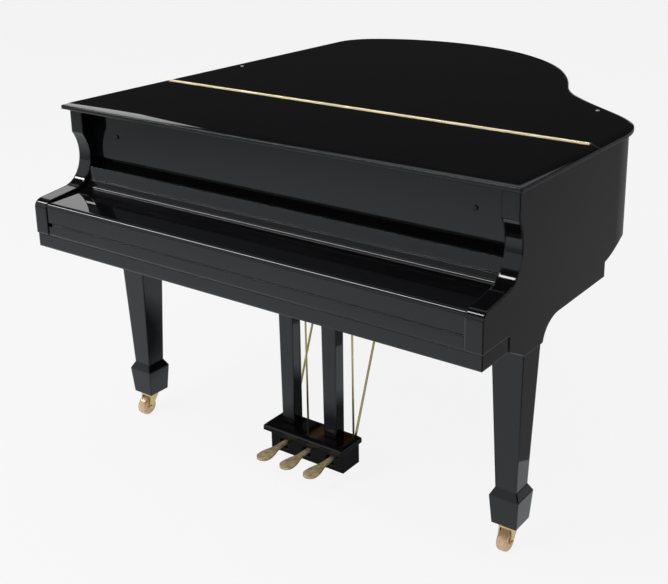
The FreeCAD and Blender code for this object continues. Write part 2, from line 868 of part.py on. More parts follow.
def action_frame():
    """Key frame with front, balance and back rails, end plates, the hammer rail and the hammer pin."""
    half = action_half
    inner = half - action_end_thickness
    bottom = keybed_top + rail_seat_gap
    y0 = key_front + key_gap
    y1 = front + back_rail_back
    rails = box(-half, half, y0, y0 + front_rail_depth, bottom, bottom + front_rail_height)
    balance_y = front + balance_back
    ridge_top = key_bottom - rail_seat_gap
    base_top = ridge_top - balance_ridge_height
    rail_front = balance_y - balance_rail_depth / 2
    rails = rails.fuse(box(-half, half, rail_front, rail_front + balance_rail_depth, bottom, base_top))
    ridge_ends = (Vector(-inner, balance_y, balance_height), Vector(inner, balance_y, balance_height))
    rails = rails.fuse(rod(ridge_ends[0], ridge_ends[1], balance_ridge_radius))
    rails = rails.fuse(box(-half, half, y1 - back_rail_depth, y1, bottom, ridge_top))
    axis_y = front + hammer_pivot_back
    plate_y0 = axis_y - hammer_rail_gap - hammer_rail_depth
    rail_z = hammer_height
    for x in (-half, inner):
        rails = rails.fuse(box(x, x + action_end_thickness, y0, y1, bottom, base_top))
        end_plate = box(x, x + action_end_thickness, plate_y0, axis_y + hammer_rail_gap,
                        base_top - balance_ridge_height, rail_z + hammer_rail_height / 2)
        rails = rails.fuse(end_plate)
    rails = rails.fuse(box(-half, half, plate_y0, plate_y0 + hammer_rail_depth,
                           rail_z - hammer_rail_height / 2, rail_z + hammer_rail_height / 2))
    rails = rails.fuse(rod(Vector(-half, axis_y, rail_z), Vector(half, axis_y, rail_z), hammer_pin))
    return rails.removeSplitter()


def hammer(note):
    """Shank on its pin, and a head with a rounded felt nose."""
    x = stick_middle(note)
    axis_y = front + hammer_pivot_back
    z = hammer_height
    head_y = axis_y + hammer_reach
    shank = box(x - shank_size / 2, x + shank_size / 2, axis_y - hammer_butt, head_y, z - shank_size / 2,
                z + shank_size / 2)
    y0 = head_y - hammer_head_depth / 2
    y1 = head_y + hammer_head_depth / 2
    top = z + hammer_head_above
    side = [
        (y0, z - hammer_head_below, None),
        (y0, top - hammer_nose, 90),
        (head_y, top, 0),
        (y1, top - hammer_nose, -90),
        (y1, z - hammer_head_below, None),
    ]
    head = side_prism(side, x - hammer_head_width / 2, x + hammer_head_width / 2)
    ends = (Vector(x - shank_size, axis_y, z), Vector(x + shank_size, axis_y, z))
    return shank.fuse(head).cut(rod(ends[0], ends[1], hammer_pin + pin_clearance))


def is_bass(note):
    return note < first_note + bass_note_count


def treble_share(note):
    first = first_note + bass_note_count
    return (note - first) / (last_note - first)


def slant(note):
    if is_bass(note):
        return bass_slant
    return -treble_slant * (1 - treble_share(note)) ** treble_slant_bend


def bridge_back(note):
    """How far behind the lid's front edge this note's string crosses its bridge."""
    if is_bass(note):
        return agraffe_back + bass_long - (note - first_note) * bass_step
    fall = treble_share(note) ** treble_length_bend
    return agraffe_back + treble_long * (treble_short / treble_long) ** fall


def string_x(note, back, unison=0):
    spread = semitone / strings_per_treble_note
    offset = 0 if is_bass(note) else (unison - (strings_per_treble_note - 1) / 2) * spread
    return stick_middle(note) + offset + slant(note) * (back - agraffe_back)


def string_height(note):
    return bass_string_height if is_bass(note) else treble_string_height


def string_list():
    """Every string as (note, unison number, distance of its tuning pin behind the lid's front edge)."""
    found = []
    for note in range(first_note, last_note + 1):
        for unison in range(1 if is_bass(note) else strings_per_treble_note):
            found.append((note, unison, pin_row_front + (len(found) % pin_row_count) * pin_row_step))
    return found


def strings(bass):
    radius = bass_string_radius if bass else treble_string_radius
    solids = []
    for note, unison, pin_back in string_list():
        if is_bass(note) == bass:
            near = pin_back + pin_radius + string_pin_gap
            far = bridge_back(note) + string_tail
            z = string_height(note)
            ends = [Vector(string_x(note, back, unison), front + back, z) for back in (near, far)]
            solids.append(rod(ends[0], ends[1], radius))
    return solids


def tuning_pins():
    solids = []
    for note, unison, back in string_list():
        foot = Vector(string_x(note, back, unison), front + back, plate_web_top)
        top = Vector(foot.x, foot.y, string_height(note) + pin_stand)
        solids.append(rod(foot, top, pin_radius))
    return solids


def bridge(notes, top):
    """A curved bar that follows where the given notes' strings cross it."""
    middle = []
    for note in notes:
        back = bridge_back(note)
        middle.append(Vector(string_x(note, back), front + back, soundboard_top))
    half = Vector(0, bridge_width / 2, 0)
    edges = []
    for side in (-1, 1):
        curve = Part.BSplineCurve()
        curve.interpolate([point + half * side for point in middle])
        edges.append(curve.toShape())
    first = Part.LineSegment(middle[0] - half, middle[0] + half).toShape()
    last = Part.LineSegment(middle[-1] - half, middle[-1] + half).toShape()
    face = Part.Face(Part.Wire([edges[0], last, edges[1], first]))
    return face.extrude(Vector(0, 0, top - soundboard_top))


def bridges():
    last_bass = first_note + bass_note_count - 1
    bass_notes = (first_note, (first_note + last_bass) // 2, last_bass)
    treble_notes = range(last_bass + 1, last_note + 1, notes_per_octave)
    bass_top = bass_string_height - bass_string_radius - bridge_gap
    treble_top = treble_string_height - treble_string_radius - bridge_gap
    return [bridge(bass_notes, bass_top), bridge(list(treble_notes) + [last_note], treble_top)]


def soundboard():
    """Spruce panel on the inner rim, with ribs glued across its underside."""
    inset = rim_inset + soundboard_edge_gap
    solids = [case_solid(inset, front + soundboard_front, soundboard_bottom, soundboard_top)]
    start = front + soundboard_front + belly_rail_depth + rib_inset
    end = front + lid_length - inner_face_inset - rib_inset
    rib_bottom = soundboard_bottom - rib_height
    clear = case_solid(inner_face_inset + glue_gap, start - rib_width, rib_bottom, soundboard_bottom)
    for index in range(rib_count):
        y = start + (end - start) * index / (rib_count - 1)
        rib = box(-lid_half, lid_half, y - rib_width / 2, y + rib_width / 2, rib_bottom, soundboard_bottom)
        solids.append(rib.common(clear))
    return solids


def pinblock():
    inner = lid_half - inner_face_inset
    y0 = front + pinblock_front
    y1 = y0 + pinblock_depth
    half = well_half - glue_gap
    block = box(-inner, inner, y0, y1, pinblock_bottom, pinblock_top)
    lug = box(inner, half, y0, y1, soundboard_bottom + glue_gap, pinblock_top)
    return block.multiFuse([lug, mirrored(lug)]).removeSplitter()


def iron_plate():
    """Cast frame: web over the pinblock, cheeks, flange along the rim, and struts over the strings."""
    bottom = soundboard_top + glue_gap
    top = bottom + plate_flange_height
    outer = rim_inset + plate_edge_gap
    start = front + pinblock_front + pinblock_depth + plate_edge_gap
    ring = case_solid(outer, start, bottom, top)
    panel_bottom = top - plate_flange_thickness
    inner = case_solid(outer + plate_flange, start - cut_overrun, bottom - cut_overrun, top + cut_overrun)
    under = case_solid(outer + plate_wall, start - cut_overrun, bottom - cut_overrun, panel_bottom)
    ring = ring.cut(inner).cut(under)
    web_bottom = plate_web_top - plate_web_thickness
    web_front = front + pinblock_front
    web_back = start + plate_web_overlap
    web = box(-plate_web_half, plate_web_half, web_front, web_back, web_bottom, plate_web_top)
    pieces = [web]
    cheek_back = front + soundboard_front + plate_flange
    for x in (-plate_web_half, plate_web_half - plate_cheek_width):
        pieces.append(box(x, x + plate_cheek_width, start, cheek_back, panel_bottom, plate_web_top))
    tail = front + lid_length
    for share in strut_shares:
        x = share * lid_half
        bar = box(x, x + strut_width, web_front, tail, strut_bottom, strut_top)
        pieces.append(bar.common(case_solid(outer, web_front, strut_bottom, strut_top)))
        riser_back = web_front + strut_riser_depth
        pieces.append(box(x, x + strut_width, web_front, riser_back, web_bottom, strut_top))
        foot = box(x, x + strut_width, front + lid_length / 2, tail, panel_bottom, strut_top)
        rear = case_solid(outer, start, panel_bottom, strut_top)
        within = case_solid(outer + plate_flange, start, panel_bottom, strut_top)
        pieces.append(foot.common(rear).cut(within))
    return ring.multiFuse(pieces).removeSplitter()


def dampers():
    """Felted heads on the strings, their wires, and the tray that lifts them."""
    y = front + damper_back
    tray_top = damper_tray_height + damper_tray_thickness
    left = string_x(first_note, damper_back) - semitone
    right = string_x(first_note + damper_count, damper_back) + semitone
    half = damper_tray_depth / 2
    solids = [box(left, right, y - half, y + half, damper_tray_height, tray_top)]
    for note in range(first_note, first_note + damper_count):
        x = string_x(note, damper_back, (strings_per_treble_note - 1) / 2)
        radius = bass_string_radius if is_bass(note) else treble_string_radius
        bottom = string_height(note) + radius + damper_seat_gap
        head = box(x - damper_head_width / 2, x + damper_head_width / 2, y - damper_head_length / 2,
                   y + damper_head_length / 2, bottom, bottom + damper_head_height)
        wire_x = x - damper_wire_bass_shift if is_bass(note) else x + semitone / 2
        wire_top = bottom + damper_head_height
        wire = rod(Vector(wire_x, y, tray_top), Vector(wire_x, y, wire_top), damper_wire)
        foot = box(min(x, wire_x), max(x, wire_x), y - damper_wire, y + damper_wire,
                   wire_top - 2 * damper_wire, wire_top)
        solids.append(head.fuse(foot).fuse(wire))
    return solids


def desk_axis():
    desk_bottom = shelf_bottom + shelf_thickness + desk_lift
    return front + desk_front + desk_pivot_inset, desk_bottom + desk_thickness / 2


def music_shelf():
    """A board behind the stretcher, with ears that hold the desk's pins."""
    y0 = front + stretcher_setback + stretcher_thickness + glue_gap
    top = shelf_bottom + shelf_thickness
    shelf = box(-shelf_half, shelf_half, y0, front + shelf_back, shelf_bottom, top)
    y, z = desk_axis()
    ear_top = z + desk_thickness / 2
    for sign in (-1, 1):
        xs = sorted((sign * (desk_half + desk_ear_gap), sign * (desk_half + desk_ear_gap + desk_ear_width)))
        half = desk_thickness / 2
        shelf = shelf.fuse(box(xs[0], xs[1], y - half, y + half, top, ear_top))
        bore_end = desk_half + desk_pin_length
        shelf = shelf.cut(rod(Vector(0, y, z), Vector(sign * bore_end, y, z), desk_pin + pin_clearance))
    return shelf


def music_desk():
    y, z = desk_axis()
    y0 = front + desk_front
    half = desk_thickness / 2
    panel = box(-desk_half, desk_half, y0, y0 + desk_depth, z - half, z + half)
    end = desk_half + desk_pin_length - desk_ear_gap
    return panel.fuse(rod(Vector(-end, y, z), Vector(end, y, z), desk_pin))


def prop_end(shares):
    return Vector(shares[0] * lid_half, front + shares[1] * lid_length, prop_height)


def prop_foot():
    return prop_end(prop_foot_shares)


def prop_direction():
    return (prop_end(prop_tip_shares) - prop_foot()).normalize()


def prop_axis():
    flat = prop_direction().cross(Vector(0, 0, 1)).normalize()
    tilt = math.radians(prop_axis_tilt)
    return flat * math.cos(tilt) + Vector(0, 0, math.sin(tilt))


def lid_prop():
    """A square stick with rounded ends, and the pin that it turns on."""
    along = prop_direction()
    axis = prop_axis()
    length = (prop_end(prop_tip_shares) - prop_foot()).Length
    across = axis.cross(along)
    half = prop_width / 2
    corner = prop_foot() - axis * half - across * half
    face = Part.Face(Part.makePolygon([corner, corner + across * prop_width,
                                       corner + across * prop_width + along * length,
                                       corner + along * length, corner]))
    stick = face.extrude(axis * prop_width)
    for place in (prop_foot(), prop_foot() + along * length):
        stick = stick.fuse(Part.makeCylinder(half, prop_width, place - axis * half, axis))
    pin = Part.makeCylinder(prop_pin, prop_pin_length, prop_foot() - axis * half, axis * -1)
    return stick.fuse(pin).removeSplitter()


def prop_bracket():
    """A block that stands out from the bent side, for the prop's pin to turn in."""
    axis = prop_axis()
    outwards = axis * -1
    along = prop_direction()
    across = axis.cross(along)
    half = prop_bracket_size / 2
    base = prop_foot() + outwards * (prop_width / 2 + prop_bracket_gap)
    turns = ((-1, -1), (1, -1), (1, 1), (-1, 1))
    corners = [base + along * (u * half) + across * (v * half) for u, v in turns]
    block = Part.Face(Part.makePolygon(corners + corners[:1])).extrude(outwards * prop_bracket_reach)
    mouth = prop_foot() + outwards * (prop_width / 2)
    bore = Part.makeCylinder(prop_pin + pin_clearance, prop_pin_length, mouth, outwards)
    inside = case_solid(rim_inset + glue_gap, front, soundboard_top, rim_top)
    return block.cut(bore).common(inside)


def rim_hardware():
    return rim_hinge_leaves() + [prop_bracket()]


def square(x, y, z, size):
    half = size / 2
    corners = [Vector(x - half, y - half, z), Vector(x + half, y - half, z),
               Vector(x + half, y + half, z), Vector(x - half, y + half, z)]
    return Part.makePolygon(corners + corners[:1])


def leg_post(x, y, top_height):
    """A tapered square leg with a spade foot, bored for the caster's stem."""
    levels = [
        (top_height, leg_top_size),
        (leg_neck_height, leg_neck_size),
        (leg_foot_height, leg_foot_size),
        (leg_sole_height, leg_sole_size),
    ]
    post = None
    for (z0, size0), (z1, size1) in zip(levels, levels[1:]):
        part = Part.makeLoft([square(x, y, z0, size0), square(x, y, z1, size1)], True, True)
        post = part if post is None else post.fuse(part)
    hole = rod(Vector(x, y, leg_sole_height), Vector(x, y, leg_sole_height + stem_length),
               stem_radius + pin_clearance)
    return post.cut(hole)


def leg_places():
    return {
        "left": (-leg_x, front + leg_back),
        "right": (leg_x, front + leg_back),
        "rear": (rear_leg_shares[0] * lid_half, front + rear_leg_shares[1] * lid_length),
    }


def legs():
    solids = []
    for name, (x, y) in leg_places().items():
        if name == "rear":
            top = beam_bottom - rear_leg_plate_thickness
            half = rear_leg_plate / 2
            plate = box(x - half, x + half, y - half, y + half, top, beam_bottom)
        else:
            top = bracket_bottom
            outer = well_half - glue_gap
            xs = sorted((math.copysign(outer, x), math.copysign(outer - leg_plate_width, x)))
            half = leg_plate_depth / 2
            plate = box(xs[0], xs[1], y - half, y + half, top, keybed_bottom)
        solids.append(leg_post(x, y, top).fuse(plate).removeSplitter())
    return solids


def caster_sockets():
    solids = []
    for x, y in leg_places().values():
        bottom = leg_sole_height - socket_thickness
        disc = rod(Vector(x, y, bottom), Vector(x, y, leg_sole_height), socket_radius)
        hole = rod(Vector(x, y, bottom - cut_overrun), Vector(x, y, leg_sole_height + cut_overrun),
                   stem_radius + pin_clearance)
        solids.append(disc.cut(hole))
    return solids


def caster_axle_place(x, y):
    return Vector(x, y - caster_trail, caster_wheel_radius)


def caster_fork(x, y):
    """Stem, crown and two cheeks, with the axle pin between them."""
    axle = caster_axle_place(x, y)
    crown_top = fork_top
    crown_bottom = crown_top - fork_crown_thickness
    fork = rod(Vector(x, y, crown_bottom), Vector(x, y, crown_top), fork_crown_radius)
    stem_top = leg_sole_height + stem_length - cut_overrun
    fork = fork.fuse(rod(Vector(x, y, crown_top), Vector(x, y, stem_top), stem_radius))
    inner = caster_wheel_width / 2 + fork_gap
    outer = inner + fork_thickness
    half = fork_crown_radius / 2
    bridge_plate = box(x - outer, x + outer, axle.y, y + half, crown_bottom, crown_top)
    fork = fork.fuse(bridge_plate)
    for x0 in (x - outer, x + inner):
        side = [
            (axle.y, crown_bottom, None),
            (axle.y - fork_cheek_half, axle.z, -90),
            (axle.y, axle.z - fork_cheek_half, 0),
            (axle.y + fork_cheek_half, axle.z, 90),
            (y + half, crown_bottom, None),
        ]
        fork = fork.fuse(side_prism(side, x0, x0 + fork_thickness))
    pin = rod(Vector(x - outer, axle.y, axle.z), Vector(x + outer, axle.y, axle.z), caster_axle)
    return fork.fuse(pin).removeSplitter()


def caster_wheel(x, y):
    axle = caster_axle_place(x, y)
    half = caster_wheel_width / 2
    wheel = rod(Vector(x - half, axle.y, axle.z), Vector(x + half, axle.y, axle.z), caster_wheel_radius)
    wheel = wheel.makeFillet(wheel_edge_round, [edge for edge in wheel.Edges if edge.Closed])
    bore = rod(Vector(x - outer_reach(), axle.y, axle.z), Vector(x + outer_reach(), axle.y, axle.z),
               caster_axle + pin_clearance)
    return wheel.cut(bore)


def outer_reach():
    return caster_wheel_width / 2 + cut_overrun


def pedal_places():
    return (-pedal_spacing, 0.0, pedal_spacing)


def lyre_frame():
    """Head under the keybed and two posts that taper down to the pedal box."""
    head_bottom = keybed_bottom - lyre_head_thickness
    y0 = front + pedal_box_front + lyre_inset
    y1 = y0 + lyre_post_depth
    head = box(-lyre_head_half, lyre_head_half, y0 - lyre_head_overhang, y1 + lyre_head_overhang,
               head_bottom, keybed_bottom)
    foot = pedal_box_bottom + pedal_box_height + pedal_cap_thickness
    outline = [Vector(lyre_post_inner, y0, head_bottom), Vector(lyre_post_outer, y0, head_bottom),
               Vector(lyre_post_foot_outer, y0, foot), Vector(lyre_post_foot_inner, y0, foot)]
    post = Part.Face(Part.makePolygon(outline + outline[:1])).extrude(Vector(0, lyre_post_depth, 0))
    return [head, post, mirrored(post)]


def pedal_box():
    """A hollow box with slots for the pedals, partitions that hold their pins, and a cap."""
    y0 = front + pedal_box_front
    y1 = y0 + pedal_box_depth
    top = pedal_box_bottom + pedal_box_height
    half = pedal_box_half
    wall = pedal_box_wall
    shell = box(-half, half, y0, y1, pedal_box_bottom, top)
    cavity = box(-half + wall, half - wall, y0 + wall, y1 - wall, pedal_box_bottom + wall, top)
    shell = shell.cut(cavity)
    for x in (-pedal_spacing / 2, pedal_spacing / 2):
        x0 = x - pedal_partition / 2
        shell = shell.fuse(box(x0, x0 + pedal_partition, y0 + wall, y1 - wall, pedal_box_bottom + wall, top))
    slot_half = pedal_waist / 2 + pedal_slot_side_gap
    middle = pedal_height - pedal_thickness / 2
    for x in pedal_places():
        slot = box(x - slot_half, x + slot_half, y0 - cut_overrun, y1 + cut_overrun,
                   middle - pedal_slot_height / 2, middle + pedal_slot_height / 2)
        shell = shell.cut(slot)
    pin_y = front + pedal_pivot_back
    reach = half - wall / 2
    ends = (Vector(-reach, pin_y, middle), Vector(reach, pin_y, middle))
    shell = shell.cut(rod(ends[0], ends[1], pedal_pin + pin_clearance))
    cap = box(-pedal_cap_half, pedal_cap_half, y0 - pedal_cap_reach, y1, top, top + pedal_cap_thickness)
    upper_edges = [edge for edge in cap.Edges if edge.BoundBox.ZMin > top]
    return [shell, cap.makeChamfer(pedal_cap_bevel, upper_edges)]


def pedal(x):
    """A brass lever with a spoon-shaped tip, on a pin between the box's partitions."""
    middle = pedal_height - pedal_thickness / 2
    tip = front + pedal_tip_front
    neck = tip + pedal_spoon_length
    end = front + pedal_end_back
    spoon, waist, nose = pedal_spoon / 2, pedal_waist / 2, pedal_nose
    right = [(waist, end, None), (waist, neck, towards_player), (spoon, tip + nose, towards_player),
             (0, tip, towards_bass)]
    left = [(0, tip, towards_bass), (-spoon, tip + nose, towards_tail), (-waist, neck, towards_tail),
            (-waist, end, None)]
    edges = profile_edges(right) + profile_edges(left) + profile_edges([left[-1], right[0]])
    face = Part.Face(Part.Wire(edges))
    face.translate(Vector(x, 0, pedal_height - pedal_thickness))
    lever = face.extrude(Vector(0, 0, pedal_thickness))
    pin_y = front + pedal_pivot_back
    reach = pedal_spacing / 2 - pin_clearance
    limit = pedal_box_half - pedal_box_wall / 2 - pin_clearance
    ends = (Vector(max(x - reach, -limit), pin_y, middle), Vector(min(x + reach, limit), pin_y, middle))
    return lever.fuse(rod(ends[0], ends[1], pedal_pin))


def pedal_rod(x):
    y = front + rod_back
    foot = Vector(x, y, pedal_height + rod_seat_gap)
    return rod(foot, Vector(x, y, lever_bottom - rod_seat_gap), rod_radius)


def lever_axis_height():
    return lever_bottom + lever_thickness / 2


def trap_lever(x):
    y = front + lever_pivot_back
    half = lever_width / 2
    top = lever_bottom + lever_thickness
    bar = box(x - half, x + half, front + lever_front, y + lever_end, lever_bottom, top)
    reach = half + hanger_gap + hanger_thickness
    z = lever_axis_height()
    return bar.fuse(rod(Vector(x - reach, y, z), Vector(x + reach, y, z), lever_pin))


def lyre_braces():
    """Slanted brass rods from the back of the pedal box to the keybed, with a foot block each."""
    foot_y = front + pedal_box_back
    y = foot_y + brace_foot_thickness / 2
    foot = Vector(brace_x, y, brace_foot_height)
    top = Vector(brace_x, front + keybed_back - brace_top_inset, keybed_bottom + brace_radius * 2)
    bar = rod(foot, top, brace_radius)
    half = brace_foot_size / 2
    block = box(brace_x - half, brace_x + half, foot_y, foot_y + brace_foot_thickness,
                brace_foot_height - half, brace_foot_height + half)
    below = box(-lid_half, lid_half, foot_y, front + lid_length, 0, keybed_bottom)
    brace = bar.fuse(block).common(below)
    return [brace, mirrored(brace)]


def save(name, solids):
    shape = solids if isinstance(solids, Part.Shape) else Part.makeCompound(solids)
    shape.exportStep(os.path.join("parts", name + ".step"))
    print(name, len(shape.Solids), round(shape.Volume), shape.isValid())


os.makedirs("parts", exist_ok=True)
nodes = {
    "outer_rim": outer_rim(),
    "inner_rim": inner_rim(),
    "back_beams": back_beams(),
    "keybed": keybed(),
    "key_slip": key_slip(),
    "key_blocks": key_blocks(),
    "stretcher": stretcher(),
    "rubber_buttons": rubber_buttons(),
    "pinblock": pinblock(),
    "iron_plate": iron_plate(),
    "tuning_pins": tuning_pins(),
    "soundboard": soundboard(),
    "bridges": bridges(),
    "bass_strings": strings(True),
    "treble_strings": strings(False),
    "legs": legs(),
    "caster_sockets": caster_sockets(),
    "lyre_frame": lyre_frame(),
    "pedal_box": pedal_box(),
    "lyre_braces": lyre_braces(),
    "music_shelf": music_shelf(),
    "rim_hardware": rim_hardware(),
    "fallboard": fallboard(),
    "music_desk": music_desk(),
    "lid": lid(),
    "lid_hinges": lid_hinge_leaves(),
    "lid_flap": lid_flap(),
    "flap_hinge_lid": flap_hinge(1),
    "flap_hinge_flap": flap_hinge(-1),
    "lid_prop": lid_prop(),
    "action_frame": action_frame(),
    "hammers": [hammer(note) for note in range(first_note, last_note + 1)],
    "dampers": dampers(),
}
for step, pitch in enumerate(pitch_names):
    nodes["keys_" + pitch] = keys_of(step)
for place, (x, y) in leg_places().items():
    nodes["caster_fork_" + place] = caster_fork(x, y)
    nodes["caster_wheel_" + place] = caster_wheel(x, y)
for place, x in zip(("left", "middle", "right"), pedal_places()):
    nodes["pedal_" + place] = pedal(x)
    nodes["pedal_rod_" + place] = pedal_rod(x)
    nodes["trap_lever_" + place] = trap_lever(x)
for name, solids in nodes.items():
    save(name, solids)
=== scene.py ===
import math

import bpy
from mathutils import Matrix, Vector


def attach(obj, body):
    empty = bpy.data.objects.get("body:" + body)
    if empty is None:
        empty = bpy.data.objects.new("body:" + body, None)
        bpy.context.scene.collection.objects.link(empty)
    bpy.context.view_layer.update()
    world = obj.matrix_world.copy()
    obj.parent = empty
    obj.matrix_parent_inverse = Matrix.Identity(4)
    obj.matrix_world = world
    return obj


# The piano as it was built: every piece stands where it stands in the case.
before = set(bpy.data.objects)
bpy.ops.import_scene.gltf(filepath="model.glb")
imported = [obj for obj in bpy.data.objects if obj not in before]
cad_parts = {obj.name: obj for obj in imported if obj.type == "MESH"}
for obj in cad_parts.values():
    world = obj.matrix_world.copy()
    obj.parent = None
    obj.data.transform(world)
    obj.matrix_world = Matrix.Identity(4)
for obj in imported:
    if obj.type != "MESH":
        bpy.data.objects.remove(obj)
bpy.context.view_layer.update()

# Case: the bent rim with its two arms, the keybed, key slip, key blocks and the board over the keys.
# Laminated wood under thick black polyester, sprayed, sanded flat and buffed: a deep black that mirrors
# the floor, with a faint orange peel, the haze that polishing leaves, and edges rubbed round.
mm = 0.001
peel_spacing = 5 * mm
haze_spacing = 120 * mm
edge_radius = 7 * mm
# Where a mix of two colours takes them in, and where it gives out the mixed one.
tint_a, tint_b, tint_out = 6, 7, 2


def linear(code):
    """A colour written as an sRGB hex value, as linear red, green, blue and alpha."""
    shares = [int(code[i:i + 2], 16) / 255 for i in (0, 2, 4)]
    return [s / 12.92 if s <= 0.04045 else ((s + 0.055) / 1.055) ** 2.4 for s in shares] + [1.0]


def add(tree, kind, settings, inputs):
    """Adds one node, with its settings and with what goes into it."""
    made = tree.nodes.new(kind)
    for name, value in settings.items():
        setattr(made, name, value)
    for name, value in inputs.items():
        socket = made.inputs[name]
        if isinstance(value, bpy.types.NodeSocket):
            tree.links.new(value, socket)
        else:
            socket.default_value = value
    return made


def new_finish(name):
    """An empty finish, its nodes, and the place on the piece that its pattern is drawn by."""
    finish = bpy.data.materials.new(name)
    finish.use_nodes = True
    finish.node_tree.nodes.clear()
    place = add(finish.node_tree, "ShaderNodeTexCoord", {}, {}).outputs["Object"]
    return finish, finish.node_tree, place


def coat(names, finish):
    """Gives CAD pieces their finish."""
    for name in names:
        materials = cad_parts[name].data.materials
        materials.clear()
        materials.append(finish)


def soften(names, width, steps=3, smooth=True):
    """Rounds the sharp edges of CAD pieces, as sanding does, or cuts them flat."""
    same_point = 0.02 * mm
    same_plane = math.radians(0.6)
    sharp_corner = math.radians(28)
    for name in names:
        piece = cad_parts[name]
        joined = piece.modifiers.new("joined", "WELD")
        joined.merge_threshold = same_point
        flat = piece.modifiers.new("flat", "DECIMATE")
        flat.decimate_type = "DISSOLVE"
        flat.angle_limit = same_plane
        edge = piece.modifiers.new("edge", "BEVEL")
        edge.width = width
        edge.segments = steps
        edge.limit_method = "ANGLE"
        edge.angle_limit = sharp_corner
        edge.use_clamp_overlap = True
        shade = piece.modifiers.new("shade", "WEIGHTED_NORMAL")
        shade.keep_sharp = False
        for polygon in piece.data.polygons:
            polygon.use_smooth = smooth


black_polyester, tree, place = new_finish("black_polyester")
haze = add(tree, "ShaderNodeTexNoise", {},
           {"Vector": place, "Scale": 1 / haze_spacing, "Detail": 6.0, "Roughness": 0.65})
tint = add(tree, "ShaderNodeMix", {"data_type": "RGBA"},
           {"Factor": haze.outputs["Fac"], tint_a: linear("050506"), tint_b: linear("080809")})
gloss = add(tree, "ShaderNodeMapRange", {},
            {"Value": haze.outputs["Fac"], "From Min": 0.3, "From Max": 0.7,
             "To Min": 0.03, "To Max": 0.06})
peel = add(tree, "ShaderNodeTexNoise", {}, {"Vector": place, "Scale": 1 / peel_spacing, "Detail": 2.0})
rubbed_edge = add(tree, "ShaderNodeBevel", {"samples": 8}, {"Radius": edge_radius})
wave = add(tree, "ShaderNodeBump", {},
           {"Strength": 0.015, "Distance": 0.4 * mm, "Height": peel.outputs["Fac"],
            "Normal": rubbed_edge.outputs["Normal"]})
body = add(tree, "ShaderNodeBsdfPrincipled", {},
           {"Base Color": tint.outputs[tint_out], "Roughness": gloss.outputs["Result"], "IOR": 1.5,
            "Normal": wave.outputs["Normal"]})
add(tree, "ShaderNodeOutputMaterial", {}, {"Surface": body.outputs["BSDF"]})
coat(["outer_rim", "stretcher", "keybed", "key_slip", "key_blocks"], black_polyester)
soften(["outer_rim"], 4 * mm, 4)
soften(["stretcher"], 1.8 * mm)
soften(["keybed", "key_slip", "key_blocks"], 0.3 * mm, 2)

# Rubber buttons: two moulded black stops, pressed into the board that the open fallboard leans on.
# Matte rubber, slightly grey where it is handled, with the grit of its mould.
grit_size = 1.5 * mm
rubber, tree, place = new_finish("moulded_rubber")
grit = add(tree, "ShaderNodeTexNoise", {}, {"Vector": place, "Scale": 1 / grit_size, "Detail": 4.0})
tint = add(tree, "ShaderNodeMix", {"data_type": "RGBA"},
           {"Factor": grit.outputs["Fac"], tint_a: linear("0E0E0F"), tint_b: linear("1C1C1E")})
skin = add(tree, "ShaderNodeBump", {},
           {"Strength": 0.2, "Distance": 0.3 * mm, "Height": grit.outputs["Fac"]})
body = add(tree, "ShaderNodeBsdfPrincipled", {},
           {"Base Color": tint.outputs[tint_out], "Roughness": 0.55, "IOR": 1.52,
            "Normal": skin.outputs["Normal"]})
add(tree, "ShaderNodeOutputMaterial", {}, {"Surface": body.outputs["BSDF"]})
coat(["rubber_buttons"], rubber)
soften(["rubber_buttons"], 1.5 * mm)

# Inner rim, beams, pinblock, bridges, action frame and trap levers: planed beech, glued up or screwed
# on, and left under a thin clear sealer. Short dark flecks lie along the grain, and the tone changes
# from board to board.
fleck_width = 4 * mm
board_width = 60 * mm
beech_stretch = (1.0, 0.06, 1.0)
beech, tree, place = new_finish("sealed_beech")
along = add(tree, "ShaderNodeMapping", {}, {"Vector": place, "Scale": beech_stretch})
flecks = add(tree, "ShaderNodeTexNoise", {},
             {"Vector": along.outputs["Vector"], "Scale": 1 / fleck_width, "Detail": 5.0})
board = add(tree, "ShaderNodeTexNoise", {},
            {"Vector": along.outputs["Vector"], "Scale": 1 / board_width, "Detail": 2.0})
tone = add(tree, "ShaderNodeMath", {"operation": "MULTIPLY"},
           {0: flecks.outputs["Fac"], 1: board.outputs["Fac"]})
spread = add(tree, "ShaderNodeMapRange", {},
             {"Value": tone.outputs["Value"], "From Min": 0.12, "From Max": 0.4})
tint = add(tree, "ShaderNodeMix", {"data_type": "RGBA"},
           {"Factor": spread.outputs["Result"], tint_a: linear("9C7048"), tint_b: linear("D2AB7C")})
pores = add(tree, "ShaderNodeBump", {},
            {"Strength": 0.15, "Distance": 0.4 * mm, "Height": flecks.outputs["Fac"]})
body = add(tree, "ShaderNodeBsdfPrincipled", {},
           {"Base Color": tint.outputs[tint_out], "Roughness": 0.42, "IOR": 1.5,
            "Normal": pores.outputs["Normal"]})
add(tree, "ShaderNodeOutputMaterial", {}, {"Surface": body.outputs["BSDF"]})
coat(["inner_rim", "back_beams", "pinblock", "bridges", "action_frame",
      "trap_lever_left", "trap_lever_middle", "trap_lever_right"], beech)

# Soundboard: thin quarter-sawn spruce with ribs under it, glued in and varnished to an amber gloss.
# Straight year rings two millimetres apart, drawn at four so that they show.
ring_spacing = 4 * mm
tone_spacing = 90 * mm
grain_turn = math.radians(38)
